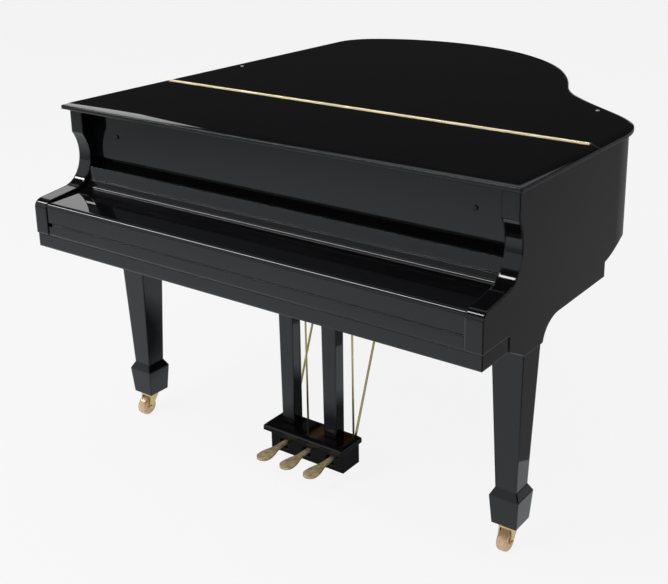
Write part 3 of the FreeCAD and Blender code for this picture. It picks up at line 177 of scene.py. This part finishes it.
# Bands of a wave pattern lie this far apart when its scale is one.
wave_length = 0.314
spruce, tree, place = new_finish("varnished_spruce")
across = add(tree, "ShaderNodeMapping", {}, {"Vector": place, "Rotation": (0, 0, grain_turn)})
rings = add(tree, "ShaderNodeTexWave", {"bands_direction": "X"},
            {"Vector": across.outputs["Vector"], "Scale": wave_length / ring_spacing, "Distortion": 1.2,
             "Detail": 2.0, "Detail Scale": 0.4})
tone = add(tree, "ShaderNodeTexNoise", {},
           {"Vector": across.outputs["Vector"], "Scale": 1 / tone_spacing, "Detail": 3.0})
warm = add(tree, "ShaderNodeMath", {"operation": "MULTIPLY"},
           {0: rings.outputs["Fac"], 1: tone.outputs["Fac"]})
tint = add(tree, "ShaderNodeMix", {"data_type": "RGBA"},
           {"Factor": warm.outputs["Value"], tint_a: linear("B47B3C"), tint_b: linear("E3B878")})
body = add(tree, "ShaderNodeBsdfPrincipled", {},
           {"Base Color": tint.outputs[tint_out], "Roughness": 0.3, "IOR": 1.5,
            "Coat Weight": 0.6, "Coat Roughness": 0.08})
add(tree, "ShaderNodeOutputMaterial", {}, {"Surface": body.outputs["BSDF"]})
coat(["soundboard"], spruce)

# Iron plate: one sand casting that takes the strings' pull, sprayed with bronze powder paint.
# Cast skin under the paint gives soft lumps, and the powder, drawn coarser than it is, glitters.
lump_spacing = 6 * mm
powder_spacing = 2 * mm
bronze_paint, tree, place = new_finish("bronze_paint_on_cast_iron")
lumps = add(tree, "ShaderNodeTexNoise", {}, {"Vector": place, "Scale": 1 / lump_spacing, "Detail": 3.0})
powder = add(tree, "ShaderNodeTexVoronoi", {}, {"Vector": place, "Scale": 1 / powder_spacing})
tint = add(tree, "ShaderNodeMix", {"data_type": "RGBA"},
           {"Factor": powder.outputs["Distance"], tint_a: linear("8F6A2C"), tint_b: linear("C79A4A")})
skin = add(tree, "ShaderNodeBump", {},
           {"Strength": 0.25, "Distance": 0.6 * mm, "Height": lumps.outputs["Fac"]})
body = add(tree, "ShaderNodeBsdfPrincipled", {},
           {"Base Color": tint.outputs[tint_out], "Metallic": 0.7, "Roughness": 0.38,
            "Normal": skin.outputs["Normal"]})
add(tree, "ShaderNodeOutputMaterial", {}, {"Surface": body.outputs["BSDF"]})
coat(["iron_plate"], bronze_paint)
soften(["iron_plate"], 3 * mm, 2)

# Tuning pins and treble strings: turned, plated steel pins and the drawn steel wire wound on them.
# Bright, with fine drawing marks, drawn coarser than they are so that they show.
mark_spacing = 3 * mm
steel, tree, place = new_finish("drawn_steel")
marks = add(tree, "ShaderNodeTexNoise", {}, {"Vector": place, "Scale": 1 / mark_spacing, "Detail": 3.0})
gloss = add(tree, "ShaderNodeMapRange", {},
            {"Value": marks.outputs["Fac"], "To Min": 0.16, "To Max": 0.34})
tint = add(tree, "ShaderNodeMix", {"data_type": "RGBA"},
           {"Factor": marks.outputs["Fac"], tint_a: linear("8F9092"), tint_b: linear("C4C5C6")})
body = add(tree, "ShaderNodeBsdfPrincipled", {},
           {"Base Color": tint.outputs[tint_out], "Metallic": 1.0, "Roughness": gloss.outputs["Result"]})
add(tree, "ShaderNodeOutputMaterial", {}, {"Surface": body.outputs["BSDF"]})
coat(["tuning_pins", "treble_strings"], steel)

# Bass strings: steel cores wound with soft copper wire, which gives a dull red gleam in fine rings.
# The turns are a millimetre apart, drawn at three so that they show.
winding_pitch = 3 * mm
copper, tree, place = new_finish("copper_winding")
turns = add(tree, "ShaderNodeTexWave", {"bands_direction": "Y"},
            {"Vector": place, "Scale": wave_length / winding_pitch})
tint = add(tree, "ShaderNodeMix", {"data_type": "RGBA"},
           {"Factor": turns.outputs["Fac"], tint_a: linear("8A4A2C"), tint_b: linear("C98158")})
ridge = add(tree, "ShaderNodeBump", {},
            {"Strength": 0.5, "Distance": 0.4 * mm, "Height": turns.outputs["Fac"]})
body = add(tree, "ShaderNodeBsdfPrincipled", {},
           {"Base Color": tint.outputs[tint_out], "Metallic": 1.0, "Roughness": 0.3,
            "Normal": ridge.outputs["Normal"]})
add(tree, "ShaderNodeOutputMaterial", {}, {"Surface": body.outputs["BSDF"]})
coat(["bass_strings"], copper)

# Keys: limewood sticks on the balance rail. Naturals are topped with moulded white acrylic up to where
# the fallboard covers them, sharps with black: a soft, faintly clouded gloss. The stick behind stays
# bare wood with a fine grain.
lid_front = -0.6995
cover_back = lid_front + 0.043
cloud_spacing = 20 * mm
grain_width = 3 * mm
stick_stretch = (1.0, 0.05, 1.0)
key_finishes = {}
for kind, pale, dark, rough in (("natural", "E9E6DC", "DEDACD", 0.18), ("sharp", "161617", "0C0C0D", 0.3)):
    finish, tree, place = new_finish(kind + "_key_top_on_limewood")
    axes = add(tree, "ShaderNodeSeparateXYZ", {}, {"Vector": place})
    behind = add(tree, "ShaderNodeMath", {"operation": "GREATER_THAN"},
                 {0: axes.outputs["Y"], 1: cover_back})
    cloud = add(tree, "ShaderNodeTexNoise", {},
                {"Vector": place, "Scale": 1 / cloud_spacing, "Detail": 3.0})
    top = add(tree, "ShaderNodeMix", {"data_type": "RGBA"},
              {"Factor": cloud.outputs["Fac"], tint_a: linear(pale), tint_b: linear(dark)})
    along = add(tree, "ShaderNodeMapping", {}, {"Vector": place, "Scale": stick_stretch})
    grain = add(tree, "ShaderNodeTexNoise", {},
                {"Vector": along.outputs["Vector"], "Scale": 1 / grain_width, "Detail": 4.0})
    wood = add(tree, "ShaderNodeMix", {"data_type": "RGBA"},
               {"Factor": grain.outputs["Fac"], tint_a: linear("C39A68"), tint_b: linear("E4C799")})
    tint = add(tree, "ShaderNodeMix", {"data_type": "RGBA"},
               {"Factor": behind.outputs["Value"], tint_a: top.outputs[tint_out],
                tint_b: wood.outputs[tint_out]})
    gloss = add(tree, "ShaderNodeMapRange", {},
                {"Value": behind.outputs["Value"], "To Min": rough, "To Max": 0.5})
    body = add(tree, "ShaderNodeBsdfPrincipled", {},
               {"Base Color": tint.outputs[tint_out], "IOR": 1.49, "Roughness": gloss.outputs["Result"]})
    add(tree, "ShaderNodeOutputMaterial", {}, {"Surface": body.outputs["BSDF"]})
    key_finishes[kind] = finish
natural_groups = ["keys_" + letter for letter in "cdefgab"]
sharp_groups = ["keys_" + letter + "_sharp" for letter in "cdfga"]
coat(natural_groups, key_finishes["natural"])
coat(sharp_groups, key_finishes["sharp"])
soften(natural_groups, 0.8 * mm, 2)
soften(sharp_groups, 1.2 * mm, 2)

# Hammers: maple shanks with heads of pressed white wool felt around a wooden core.
# The felt is dull and slightly fibrous, and covers the upper part of the head.
felt_front = lid_front + 0.248
felt_bottom = 0.834
fibre_size = 1.2 * mm
hammer_felt, tree, place = new_finish("hammer_felt_on_maple")
axes = add(tree, "ShaderNodeSeparateXYZ", {}, {"Vector": place})
rear = add(tree, "ShaderNodeMath", {"operation": "GREATER_THAN"}, {0: axes.outputs["Y"], 1: felt_front})
high = add(tree, "ShaderNodeMath", {"operation": "GREATER_THAN"}, {0: axes.outputs["Z"], 1: felt_bottom})
felted = add(tree, "ShaderNodeMath", {"operation": "MULTIPLY"},
             {0: rear.outputs["Value"], 1: high.outputs["Value"]})
fibres = add(tree, "ShaderNodeTexNoise", {},
             {"Vector": place, "Scale": 1 / fibre_size, "Detail": 5.0, "Roughness": 0.7})
wool = add(tree, "ShaderNodeMix", {"data_type": "RGBA"},
           {"Factor": fibres.outputs["Fac"], tint_a: linear("D8D3C6"), tint_b: linear("F1EDE3")})
along = add(tree, "ShaderNodeMapping", {}, {"Vector": place, "Scale": stick_stretch})
grain = add(tree, "ShaderNodeTexNoise", {},
            {"Vector": along.outputs["Vector"], "Scale": 1 / grain_width, "Detail": 4.0})
wood = add(tree, "ShaderNodeMix", {"data_type": "RGBA"},
           {"Factor": grain.outputs["Fac"], tint_a: linear("C79F6E"), tint_b: linear("E8CFA6")})
tint = add(tree, "ShaderNodeMix", {"data_type": "RGBA"},
           {"Factor": felted.outputs["Value"], tint_a: wood.outputs[tint_out],
            tint_b: wool.outputs[tint_out]})
nap = add(tree, "ShaderNodeBump", {},
          {"Strength": 0.4, "Distance": 0.4 * mm, "Height": fibres.outputs["Fac"]})
body = add(tree, "ShaderNodeBsdfPrincipled", {},
           {"Base Color": tint.outputs[tint_out], "Roughness": 0.75, "Normal": nap.outputs["Normal"]})
add(tree, "ShaderNodeOutputMaterial", {}, {"Surface": body.outputs["BSDF"]})
coat(["hammers"], hammer_felt)

# Dampers: black-stained wooden heads with white felt glued under them, on thin wires that run down to
# the tray. The bass heads stand higher than the treble ones, as their strings cross above: dull black
# over a pale, fibrous line.
felt_depth = 4.5 * mm
treble_felt_bottom = 0.9129
bass_felt_bottom = 0.9383
damper_heads, tree, place = new_finish("damper_felt_under_stained_wood")
axes = add(tree, "ShaderNodeSeparateXYZ", {}, {"Vector": place})
low_treble = add(tree, "ShaderNodeMath", {"operation": "LESS_THAN"},
                 {0: axes.outputs["Z"], 1: treble_felt_bottom + felt_depth})
over_bass = add(tree, "ShaderNodeMath", {"operation": "COMPARE"},
                {0: axes.outputs["Z"], 1: bass_felt_bottom + felt_depth / 2, 2: felt_depth / 2})
felted = add(tree, "ShaderNodeMath", {"operation": "MAXIMUM"},
             {0: low_treble.outputs["Value"], 1: over_bass.outputs["Value"]})
fibres = add(tree, "ShaderNodeTexNoise", {},
             {"Vector": place, "Scale": 1 / fibre_size, "Detail": 5.0, "Roughness": 0.7})
stain = add(tree, "ShaderNodeMix", {"data_type": "RGBA"},
            {"Factor": fibres.outputs["Fac"], tint_a: linear("121213"), tint_b: linear("1F1E1E")})
tint = add(tree, "ShaderNodeMix", {"data_type": "RGBA"},
           {"Factor": felted.outputs["Value"], tint_a: stain.outputs[tint_out], tint_b: linear("E6E1D6")})
nap = add(tree, "ShaderNodeBump", {},
          {"Strength": 0.3, "Distance": 0.3 * mm, "Height": fibres.outputs["Fac"]})
body = add(tree, "ShaderNodeBsdfPrincipled", {},
           {"Base Color": tint.outputs[tint_out], "Roughness": 0.55, "Normal": nap.outputs["Normal"]})
add(tree, "ShaderNodeOutputMaterial", {}, {"Surface": body.outputs["BSDF"]})
coat(["dampers"], damper_heads)

# Fallboard: the moulded board that swings down over the keys, in the case's black polyester.
# Its mouldings are cut crisp instead of rubbed round: each edge is a narrow flat that draws a thin
# bright line.
crisp_polyester = black_polyester.copy()
crisp_polyester.name = "black_polyester_crisp"
crisp_nodes = crisp_polyester.node_tree.nodes
crisp_nodes.remove(crisp_nodes[rubbed_edge.name])
coat(["fallboard"], crisp_polyester)
soften(["fallboard"], 2 * mm, 1, False)

# Music shelf, music desk and lid prop: solid boards and a stick in the case's black polyester,
# with edges sanded round, because hands take hold of them.
hand_pieces = ["music_shelf", "music_desk", "lid_prop"]
coat(hand_pieces, black_polyester)
soften(hand_pieces, 2 * mm)

# Lid and front flap: one board, sawn across for the long hinge, with a sloped edge all round.
# The same polyester as the case, flat and dark on top.
lid_pieces = ["lid", "lid_flap"]
coat(lid_pieces, black_polyester)
soften(lid_pieces, 1.2 * mm)

# Flap rests: two small domed buttons of grey rubber on the lid, where the folded flap comes to lie.
# Moulded with a thin foot, pressed into the lid, so that they stand just over two millimetres high.
# Dull, with the pale bloom of old rubber.
rest_outline = ((0.0062, -0.0005), (0.0062, 0.0006), (0.0056, 0.0013), (0.0042, 0.0019), (0.002, 0.0023))
rest_places = ((-0.678, 0.0045, 1.021), (0.573, 0.0485, 1.021))
bloom_size = 2 * mm


def turned(name, outline, spot, along, finish, body):
    """A small round piece that rides on a body, made from pairs of radius and height."""
    steps = 28
    turn = 2 * math.pi / steps
    points = [(r * math.cos(i * turn), r * math.sin(i * turn), h) for r, h in outline for i in range(steps)]
    faces = [tuple(reversed(range(steps))), tuple(range(len(points) - steps, len(points)))]
    for ring in range(0, len(points) - steps, steps):
        for i in range(steps):
            after = (i + 1) % steps
            faces.append((ring + i, ring + after, ring + steps + after, ring + steps + i))
    mesh = bpy.data.meshes.new(name)
    mesh.from_pydata(points, [], faces)
    mesh.materials.append(finish)
    for polygon in mesh.polygons:
        polygon.use_smooth = True
    piece = bpy.data.objects.new(name, mesh)
    piece.location = spot
    piece.rotation_euler = Vector(along).to_track_quat("Z", "Y").to_euler()
    bpy.context.scene.collection.objects.link(piece)
    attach(piece, body)


grey_rubber, tree, place = new_finish("grey_rubber")
bloom = add(tree, "ShaderNodeTexNoise", {}, {"Vector": place, "Scale": 1 / bloom_size, "Detail": 4.0})
tint = add(tree, "ShaderNodeMix", {"data_type": "RGBA"},
           {"Factor": bloom.outputs["Fac"], tint_a: linear("5E5E60"), tint_b: linear("8A8A8C")})
body = add(tree, "ShaderNodeBsdfPrincipled", {},
           {"Base Color": tint.outputs[tint_out], "Roughness": 0.5, "IOR": 1.52})
add(tree, "ShaderNodeOutputMaterial", {}, {"Surface": body.outputs["BSDF"]})
for number, spot in enumerate(rest_places):
    turned("flap_rest_%d" % number, rest_outline, spot, (0, 0, 1), grey_rubber, "lid")

# Hinges and prop bracket: rolled brass leaves screwed to the lid, the flap and the spine.
# A pale film over the metal paints in the light that bright brass reflects: a pale gold, half metal and half
# film, that stays light from every side.
hinge_pieces = ["flap_hinge_lid", "flap_hinge_flap", "lid_hinges", "rim_hardware"]
sheen_patch_size = 30 * mm
# Share of the pale film: a painted sheen that stands in for reflected light.
sheen_film_share = 0.55
painted_sheen_brass, tree, place = new_finish("brass_with_painted_sheen_film")
bloom = add(tree, "ShaderNodeTexNoise", {}, {"Vector": place, "Scale": 1 / sheen_patch_size, "Detail": 3.0})
tint = add(tree, "ShaderNodeMix", {"data_type": "RGBA"},
           {"Factor": bloom.outputs["Fac"], tint_a: linear("BFB08A"), tint_b: linear("D6CBAC")})
film = add(tree, "ShaderNodeBsdfPrincipled", {},
           {"Base Color": tint.outputs[tint_out], "Roughness": 0.3, "IOR": 1.5})
metal = add(tree, "ShaderNodeBsdfPrincipled", {},
            {"Base Color": linear("DDD2B0"), "Metallic": 1.0, "Roughness": 0.22})
both = add(tree, "ShaderNodeMixShader", {},
           {"Fac": sheen_film_share, 1: metal.outputs["BSDF"], 2: film.outputs["BSDF"]})
add(tree, "ShaderNodeOutputMaterial", {}, {"Surface": both.outputs["Shader"]})
coat(hinge_pieces, painted_sheen_brass)
soften(hinge_pieces, 0.5 * mm, 2)

# Hinge screws: domed brass heads, three in a row through each hinge leaf at the spine.
# Polished brass: pale gold, with fine rubbing marks and a little darker where polish does not reach.
screw_outline = ((0.0036, -0.0002), (0.0036, 0.0002), (0.003, 0.0007), (0.0018, 0.0011), (0.0006, 0.0012))
leaf_face = -0.7227
screw_height = 0.966
lid_length = 1.53
rub_spacing = 1.5 * mm
rub_stretch = (1.0, 0.15, 1.0)
stain_size = 25 * mm
brass, tree, place = new_finish("polished_brass")
rubbed = add(tree, "ShaderNodeMapping", {}, {"Vector": place, "Scale": rub_stretch})
marks = add(tree, "ShaderNodeTexNoise", {},
            {"Vector": rubbed.outputs["Vector"], "Scale": 1 / rub_spacing, "Detail": 4.0})
stain = add(tree, "ShaderNodeTexNoise", {}, {"Vector": place, "Scale": 1 / stain_size, "Detail": 3.0})
tint = add(tree, "ShaderNodeMix", {"data_type": "RGBA"},
           {"Factor": stain.outputs["Fac"], tint_a: linear("C9B06C"), tint_b: linear("E6D8A8")})
gloss = add(tree, "ShaderNodeMapRange", {},
            {"Value": marks.outputs["Fac"], "To Min": 0.16, "To Max": 0.3})
body = add(tree, "ShaderNodeBsdfPrincipled", {},
           {"Base Color": tint.outputs[tint_out], "Metallic": 1.0, "Roughness": gloss.outputs["Result"]})
add(tree, "ShaderNodeOutputMaterial", {}, {"Surface": body.outputs["BSDF"]})
for share in (0.40, 0.78):
    middle = lid_front + share * lid_length
    for step in (-0.03, 0.0, 0.03):
        turned("hinge_screw_%d_%d" % (share * 100, step * 100 + 10), screw_outline,
               (leaf_face, middle + step, screw_height), (-1, 0, 0), brass, "case")

# Legs: three square tapered legs with a spade foot, screwed under the keybed and under the tail.
# Solid wood in the case's black polyester, with edges sanded round.
coat(["legs"], black_polyester)
soften(["legs"], 2.5 * mm)

# Casters: a brass socket in each foot, a swivelling brass fork, and a wheel on a capped axle.
# The wheels are cast bronze, turned on the tread: redder than the brass, and dulled by a film of wax.
stands = ("left", "right", "rear")
forks = ["caster_fork_" + stand for stand in stands]
wheels = ["caster_wheel_" + stand for stand in stands]
turning_marks = 4 * mm
wax_share = 0.4
cap_outline = ((0.0055, -0.0004), (0.0055, 0.0008), (0.0046, 0.0018), (0.0028, 0.0024), (0.001, 0.0026))
axle_height = 0.028
axle_trail = 0.024
cheek_face = 0.020
lid_half_width = 0.733
stem_places = {"left": (-0.642, lid_front + 0.176), "right": (0.642, lid_front + 0.176),
               "rear": (-0.341 * lid_half_width, lid_front + 0.817 * lid_length)}
coat(["caster_sockets"] + forks, brass)
bronze, tree, place = new_finish("cast_bronze")
turning = add(tree, "ShaderNodeTexNoise", {}, {"Vector": place, "Scale": 1 / turning_marks, "Detail": 4.0})
tint = add(tree, "ShaderNodeMix", {"data_type": "RGBA"},
           {"Factor": turning.outputs["Fac"], tint_a: linear("CFA27C"), tint_b: linear("EBC9A4")})
gloss = add(tree, "ShaderNodeMapRange", {},
            {"Value": turning.outputs["Fac"], "To Min": 0.26, "To Max": 0.4})
metal = add(tree, "ShaderNodeBsdfPrincipled", {},
            {"Base Color": tint.outputs[tint_out], "Metallic": 1.0, "Roughness": gloss.outputs["Result"]})
film = add(tree, "ShaderNodeBsdfPrincipled", {},
           {"Base Color": tint.outputs[tint_out], "Roughness": 0.4, "IOR": 1.5})
both = add(tree, "ShaderNodeMixShader", {},
           {"Fac": wax_share, 1: metal.outputs["BSDF"], 2: film.outputs["BSDF"]})
add(tree, "ShaderNodeOutputMaterial", {}, {"Surface": both.outputs["Shader"]})
coat(wheels, bronze)
soften(["caster_sockets"] + forks + wheels, 1 * mm, 2)
for stand, (x, y) in stem_places.items():
    for side in (-1, 1):
        turned("axle_cap_%s_%s" % (stand, "out" if side > 0 else "in"), cap_outline,
               (x + side * cheek_face, y - axle_trail, axle_height), (side, 0, 0), brass,
               "caster_fork_" + stand)

# Lyre: two posts and a pedal box with a wide cap, in black polyester, hung under the keybed and held
# by slanted braces of drawn brass beside the pedals' rods.
lyre_pieces = ["lyre_frame", "pedal_box"]
coat(lyre_pieces, black_polyester)
soften(lyre_pieces, 2 * mm)
coat(["pedal_rod_left", "pedal_rod_middle", "pedal_rod_right", "lyre_braces"], brass)

# Pedals: three cast brass levers that come out of the pedal box.
# Shoes have dulled them: patches of a brownish film over metal that still gleams between.
pedal_pieces = ["pedal_left", "pedal_middle", "pedal_right"]
wear_size = 12 * mm
dulled_brass, tree, place = new_finish("brass_dulled_by_shoes")
wear = add(tree, "ShaderNodeTexNoise", {},
           {"Vector": place, "Scale": 1 / wear_size, "Detail": 5.0, "Roughness": 0.6})
cover = add(tree, "ShaderNodeMapRange", {},
            {"Value": wear.outputs["Fac"], "From Min": 0.35, "From Max": 0.65,
             "To Min": 0.35, "To Max": 0.7})
tint = add(tree, "ShaderNodeMix", {"data_type": "RGBA"},
           {"Factor": wear.outputs["Fac"], tint_a: linear("BAA47A"), tint_b: linear("DAC6A0")})
film = add(tree, "ShaderNodeBsdfPrincipled", {}, {"Base Color": tint.outputs[tint_out], "Roughness": 0.45})
metal = add(tree, "ShaderNodeBsdfPrincipled", {},
            {"Base Color": linear("D8C48C"), "Metallic": 1.0, "Roughness": 0.25})
both = add(tree, "ShaderNodeMixShader", {},
           {"Fac": cover.outputs["Result"], 1: metal.outputs["BSDF"], 2: film.outputs["BSDF"]})
add(tree, "ShaderNodeOutputMaterial", {}, {"Surface": both.outputs["Shader"]})
coat(pedal_pieces, dulled_brass)
soften(pedal_pieces, 2.5 * mm, 4)

# Floor: matt pale paint that keeps the piano's shadow. The lacquer mirrors it in a colour that only
# reflections see:
# bright paper in front and at the left, bare grey floor past the paper's edges, a painted falloff of light
# that greys it far away, a painted black patch at the right front that draws the dark edge lines, and a
# painted shadow under the piano.
floor_size = 60.0
floor_drop = 0.5 * mm
speck_spacing = 300 * mm
pale_ground = linear("F6F6F6")
paper_edge = 1.35
paper_back = 1.1
paper_slant = 1.5
light_falloff_middle = (0, -0.4, 0)
# Painted falloff of light: the mirrored floor greys with distance from the piano, as a lamp's pool of light
# fades.
light_falloff_start, light_falloff_end, light_falloff_share = 1.6, 4.4, 0.7
# A black patch at the right front, seen only in reflections: a painted dark reflection that draws the dark
# edge lines.
dark_patch_back = -0.1
dark_patch_side = 1.2
# Painted shadow under the piano, seen only in reflections.
shade_middle = (0.05, -0.45, 0)
shade_reach = (0.5, 0.5, 1)
shade_start, shade_end, shade_share = 0.8, 1.05, 0.9
seen_share = 0.96
mirrored_share = 0.9
mesh = bpy.data.meshes.new("floor")
half = floor_size / 2
mesh.from_pydata([(-half, -half, 0), (half, -half, 0), (half, half, 0), (-half, half, 0)], [], [(0, 1, 2, 3)])
floor = bpy.data.objects.new("floor", mesh)
floor.location.z = -floor_drop
bpy.context.scene.collection.objects.link(floor)
floor_paint, tree, place = new_finish("pale_floor_paint")
speck = add(tree, "ShaderNodeTexNoise", {}, {"Vector": place, "Scale": 1 / speck_spacing, "Detail": 2.0})
tint = add(tree, "ShaderNodeMix", {"data_type": "RGBA"},
           {"Factor": speck.outputs["Fac"], tint_a: linear("EDEDED"), tint_b: linear("F1F1F1")})
matt = add(tree, "ShaderNodeBsdfDiffuse", {}, {"Color": tint.outputs[tint_out]})
axes = add(tree, "ShaderNodeSeparateXYZ", {}, {"Vector": place})
slant = add(tree, "ShaderNodeMath", {"operation": "MULTIPLY_ADD"},
            {0: axes.outputs["X"], 1: paper_slant, 2: axes.outputs["Y"]})
past_side = add(tree, "ShaderNodeMath", {"operation": "GREATER_THAN"},
                {0: axes.outputs["X"], 1: paper_edge})
past_back = add(tree, "ShaderNodeMath", {"operation": "GREATER_THAN"},
                {0: slant.outputs["Value"], 1: paper_back})
bare = add(tree, "ShaderNodeMath", {"operation": "MAXIMUM"},
           {0: past_side.outputs["Value"], 1: past_back.outputs["Value"]})
# Painted falloff of light with distance from the piano.
away = add(tree, "ShaderNodeVectorMath", {"operation": "DISTANCE"}, {0: place, 1: light_falloff_middle})
painted_light_falloff = add(tree, "ShaderNodeMapRange", {},
           {"Value": away.outputs["Value"], "From Min": light_falloff_start, "From Max": light_falloff_end,
            "To Min": 0.0, "To Max": light_falloff_share})
grey = add(tree, "ShaderNodeMath", {"operation": "MAXIMUM"},
           {0: painted_light_falloff.outputs["Result"], 1: bare.outputs["Value"]})
ground = add(tree, "ShaderNodeMix", {"data_type": "RGBA"},
             {"Factor": grey.outputs["Value"], tint_a: linear("D9DFE3"), tint_b: linear("767675")})
# Painted dark patch at the right front, for reflections only.
at_front = add(tree, "ShaderNodeMath", {"operation": "LESS_THAN"}, {0: axes.outputs["Y"], 1: dark_patch_back})
beside = add(tree, "ShaderNodeMath", {"operation": "GREATER_THAN"}, {0: axes.outputs["X"], 1: dark_patch_side})
dark_patch = add(tree, "ShaderNodeMath", {"operation": "MULTIPLY"},
           {0: at_front.outputs["Value"], 1: beside.outputs["Value"]})
# Painted shadow under the piano, darkest at its middle.
under = add(tree, "ShaderNodeMapping", {"vector_type": "TEXTURE"},
            {"Vector": place, "Location": shade_middle, "Scale": shade_reach})
reach = add(tree, "ShaderNodeVectorMath", {"operation": "LENGTH"}, {0: under.outputs["Vector"]})
shade = add(tree, "ShaderNodeMapRange", {},
            {"Value": reach.outputs["Value"], "From Min": shade_start, "From Max": shade_end,
             "To Min": shade_share, "To Max": 0.0})
dark_patch_and_painted_shade = add(tree, "ShaderNodeMath", {"operation": "MAXIMUM"},
            {0: dark_patch.outputs["Value"], 1: shade.outputs["Result"]})
shaded = add(tree, "ShaderNodeMix", {"data_type": "RGBA"},
             {"Factor": dark_patch_and_painted_shade.outputs["Value"], tint_a: ground.outputs[tint_out],
              tint_b: linear("0A0A0A")})
path = add(tree, "ShaderNodeLightPath", {}, {})
shown = add(tree, "ShaderNodeMix", {"data_type": "RGBA"},
            {"Factor": path.outputs["Is Glossy Ray"], tint_a: pale_ground,
             tint_b: shaded.outputs[tint_out]})
glow = add(tree, "ShaderNodeEmission", {}, {"Color": shown.outputs[tint_out], "Strength": 1.0})
looked_at = add(tree, "ShaderNodeMath", {"operation": "MAXIMUM"},
                {0: path.outputs["Is Camera Ray"], 1: path.outputs["Is Transmission Ray"]})
seen = add(tree, "ShaderNodeMath", {"operation": "MULTIPLY"},
           {0: looked_at.outputs["Value"], 1: seen_share})
mirrored = add(tree, "ShaderNodeMath", {"operation": "MULTIPLY"},
               {0: path.outputs["Is Glossy Ray"], 1: mirrored_share})
share = add(tree, "ShaderNodeMath", {"operation": "MAXIMUM"},
            {0: seen.outputs["Value"], 1: mirrored.outputs["Value"]})
both = add(tree, "ShaderNodeMixShader", {},
           {"Fac": share.outputs["Value"], 1: matt.outputs["BSDF"], 2: glow.outputs["Emission"]})
add(tree, "ShaderNodeOutputMaterial", {}, {"Surface": both.outputs["Shader"]})
floor.data.materials.append(floor_paint)

# Room: a studio with a pale wall in front of the keyboard, a dark ceiling, and a pale panel high up
# behind the piano that lights the lid's sloped edge. The camera sees it as pale as the floor.
wall_near, wall_far, wall_height = -0.35, -0.1, 0.5
ceiling_start, ceiling_full = 0.02, 0.09
panel_front = 0.2
panel_start, panel_full = 0.57, 0.64
world = bpy.data.worlds.new("studio")
bpy.context.scene.world = world
world.use_nodes = True
tree = world.node_tree
tree.nodes.clear()
ray = add(tree, "ShaderNodeTexCoord", {}, {}).outputs["Generated"]
axes = add(tree, "ShaderNodeSeparateXYZ", {}, {"Vector": ray})
wall = add(tree, "ShaderNodeMapRange", {},
           {"Value": axes.outputs["Y"], "From Min": wall_near, "From Max": wall_far,
            "To Min": wall_height, "To Max": 0.0})
above = add(tree, "ShaderNodeMath", {"operation": "SUBTRACT"},
            {0: axes.outputs["Z"], 1: wall.outputs["Result"]})
dark = add(tree, "ShaderNodeMapRange", {},
           {"Value": above.outputs["Value"], "From Min": ceiling_start, "From Max": ceiling_full})
ceiling = add(tree, "ShaderNodeMix", {"data_type": "RGBA"},
              {"Factor": dark.outputs["Result"], tint_a: linear("CCD2D4"), tint_b: linear("282829")})
behind = add(tree, "ShaderNodeMath", {"operation": "GREATER_THAN"}, {0: axes.outputs["Y"], 1: panel_front})
rise = add(tree, "ShaderNodeMapRange", {},
           {"Value": axes.outputs["Z"], "From Min": panel_start, "From Max": panel_full})
panel = add(tree, "ShaderNodeMath", {"operation": "MULTIPLY"},
            {0: behind.outputs["Value"], 1: rise.outputs["Result"]})
room = add(tree, "ShaderNodeMix", {"data_type": "RGBA"},
           {"Factor": panel.outputs["Value"], tint_a: ceiling.outputs[tint_out], tint_b: linear("D2D6D8")})
path = add(tree, "ShaderNodeLightPath", {}, {})
looked_at = add(tree, "ShaderNodeMath", {"operation": "MAXIMUM"},
                {0: path.outputs["Is Camera Ray"], 1: path.outputs["Is Transmission Ray"]})
shown = add(tree, "ShaderNodeMix", {"data_type": "RGBA"},
            {"Factor": looked_at.outputs["Value"], tint_a: room.outputs[tint_out], tint_b: pale_ground})
air = add(tree, "ShaderNodeBackground", {}, {"Color": shown.outputs[tint_out], "Strength": 1.0})
add(tree, "ShaderNodeOutputWorld", {}, {"Surface": air.outputs["Background"]})

# Lamps: three soft boxes that only light, a long strip that draws the bright lines along the edges
# in front, and a window at the left whose light lies on the fallboard's end.
for name, spot, aim, size, power, reflected in (
        ("key_lamp", (-1.2, -3.6, 3.6), (0.2, -0.4, 0.4), (2.0, 2.0), 150, False),
        ("top_lamp", (0.3, -0.2, 4.0), (0.1, -0.1, 0), (2.4, 2.4), 60, False),
        ("side_lamp", (3.6, -1.0, 2.4), (0, -0.2, 0.6), (1.6, 1.6), 20, False),
        ("strip_lamp", (-2.9, -2.1, 4.2), (-2.9, -0.65, 0.83), (4.4, 0.5), 130, True),
        ("window", (-3.9, 1.6, 2.75), (-0.4, -0.6, 0.7), (1.3, 1.0), 6, True)):
    lamp = bpy.data.objects.new(name, bpy.data.lights.new(name, "AREA"))
    lamp.data.shape = "RECTANGLE"
    lamp.data.size, lamp.data.size_y = size
    lamp.data.energy = power
    lamp.visible_glossy = reflected
    lamp.location = spot
    lamp.rotation_euler = (Vector(aim) - Vector(spot)).to_track_quat("-Z", "Y").to_euler()
    bpy.context.scene.collection.objects.link(lamp)

# Camera: a standing viewer's eye, to the right of the keyboard, with everything in focus.
# The shift brings the piano to its place in the picture.
camera = bpy.data.objects.new("camera", bpy.data.cameras.new("camera"))
camera.location = (1.7541, -2.6887, 1.6896)
camera.rotation_euler = (math.radians(72.9), 0, math.radians(33.8))
camera.data.sensor_width = 36.0
camera.data.lens = 59.02
camera.data.shift_x = -0.0988
camera.data.shift_y = -0.1497
camera.data.clip_end = 200
bpy.context.scene.collection.objects.link(camera)
bpy.context.scene.camera = camera
bpy.context.scene.view_settings.view_transform = "Standard"
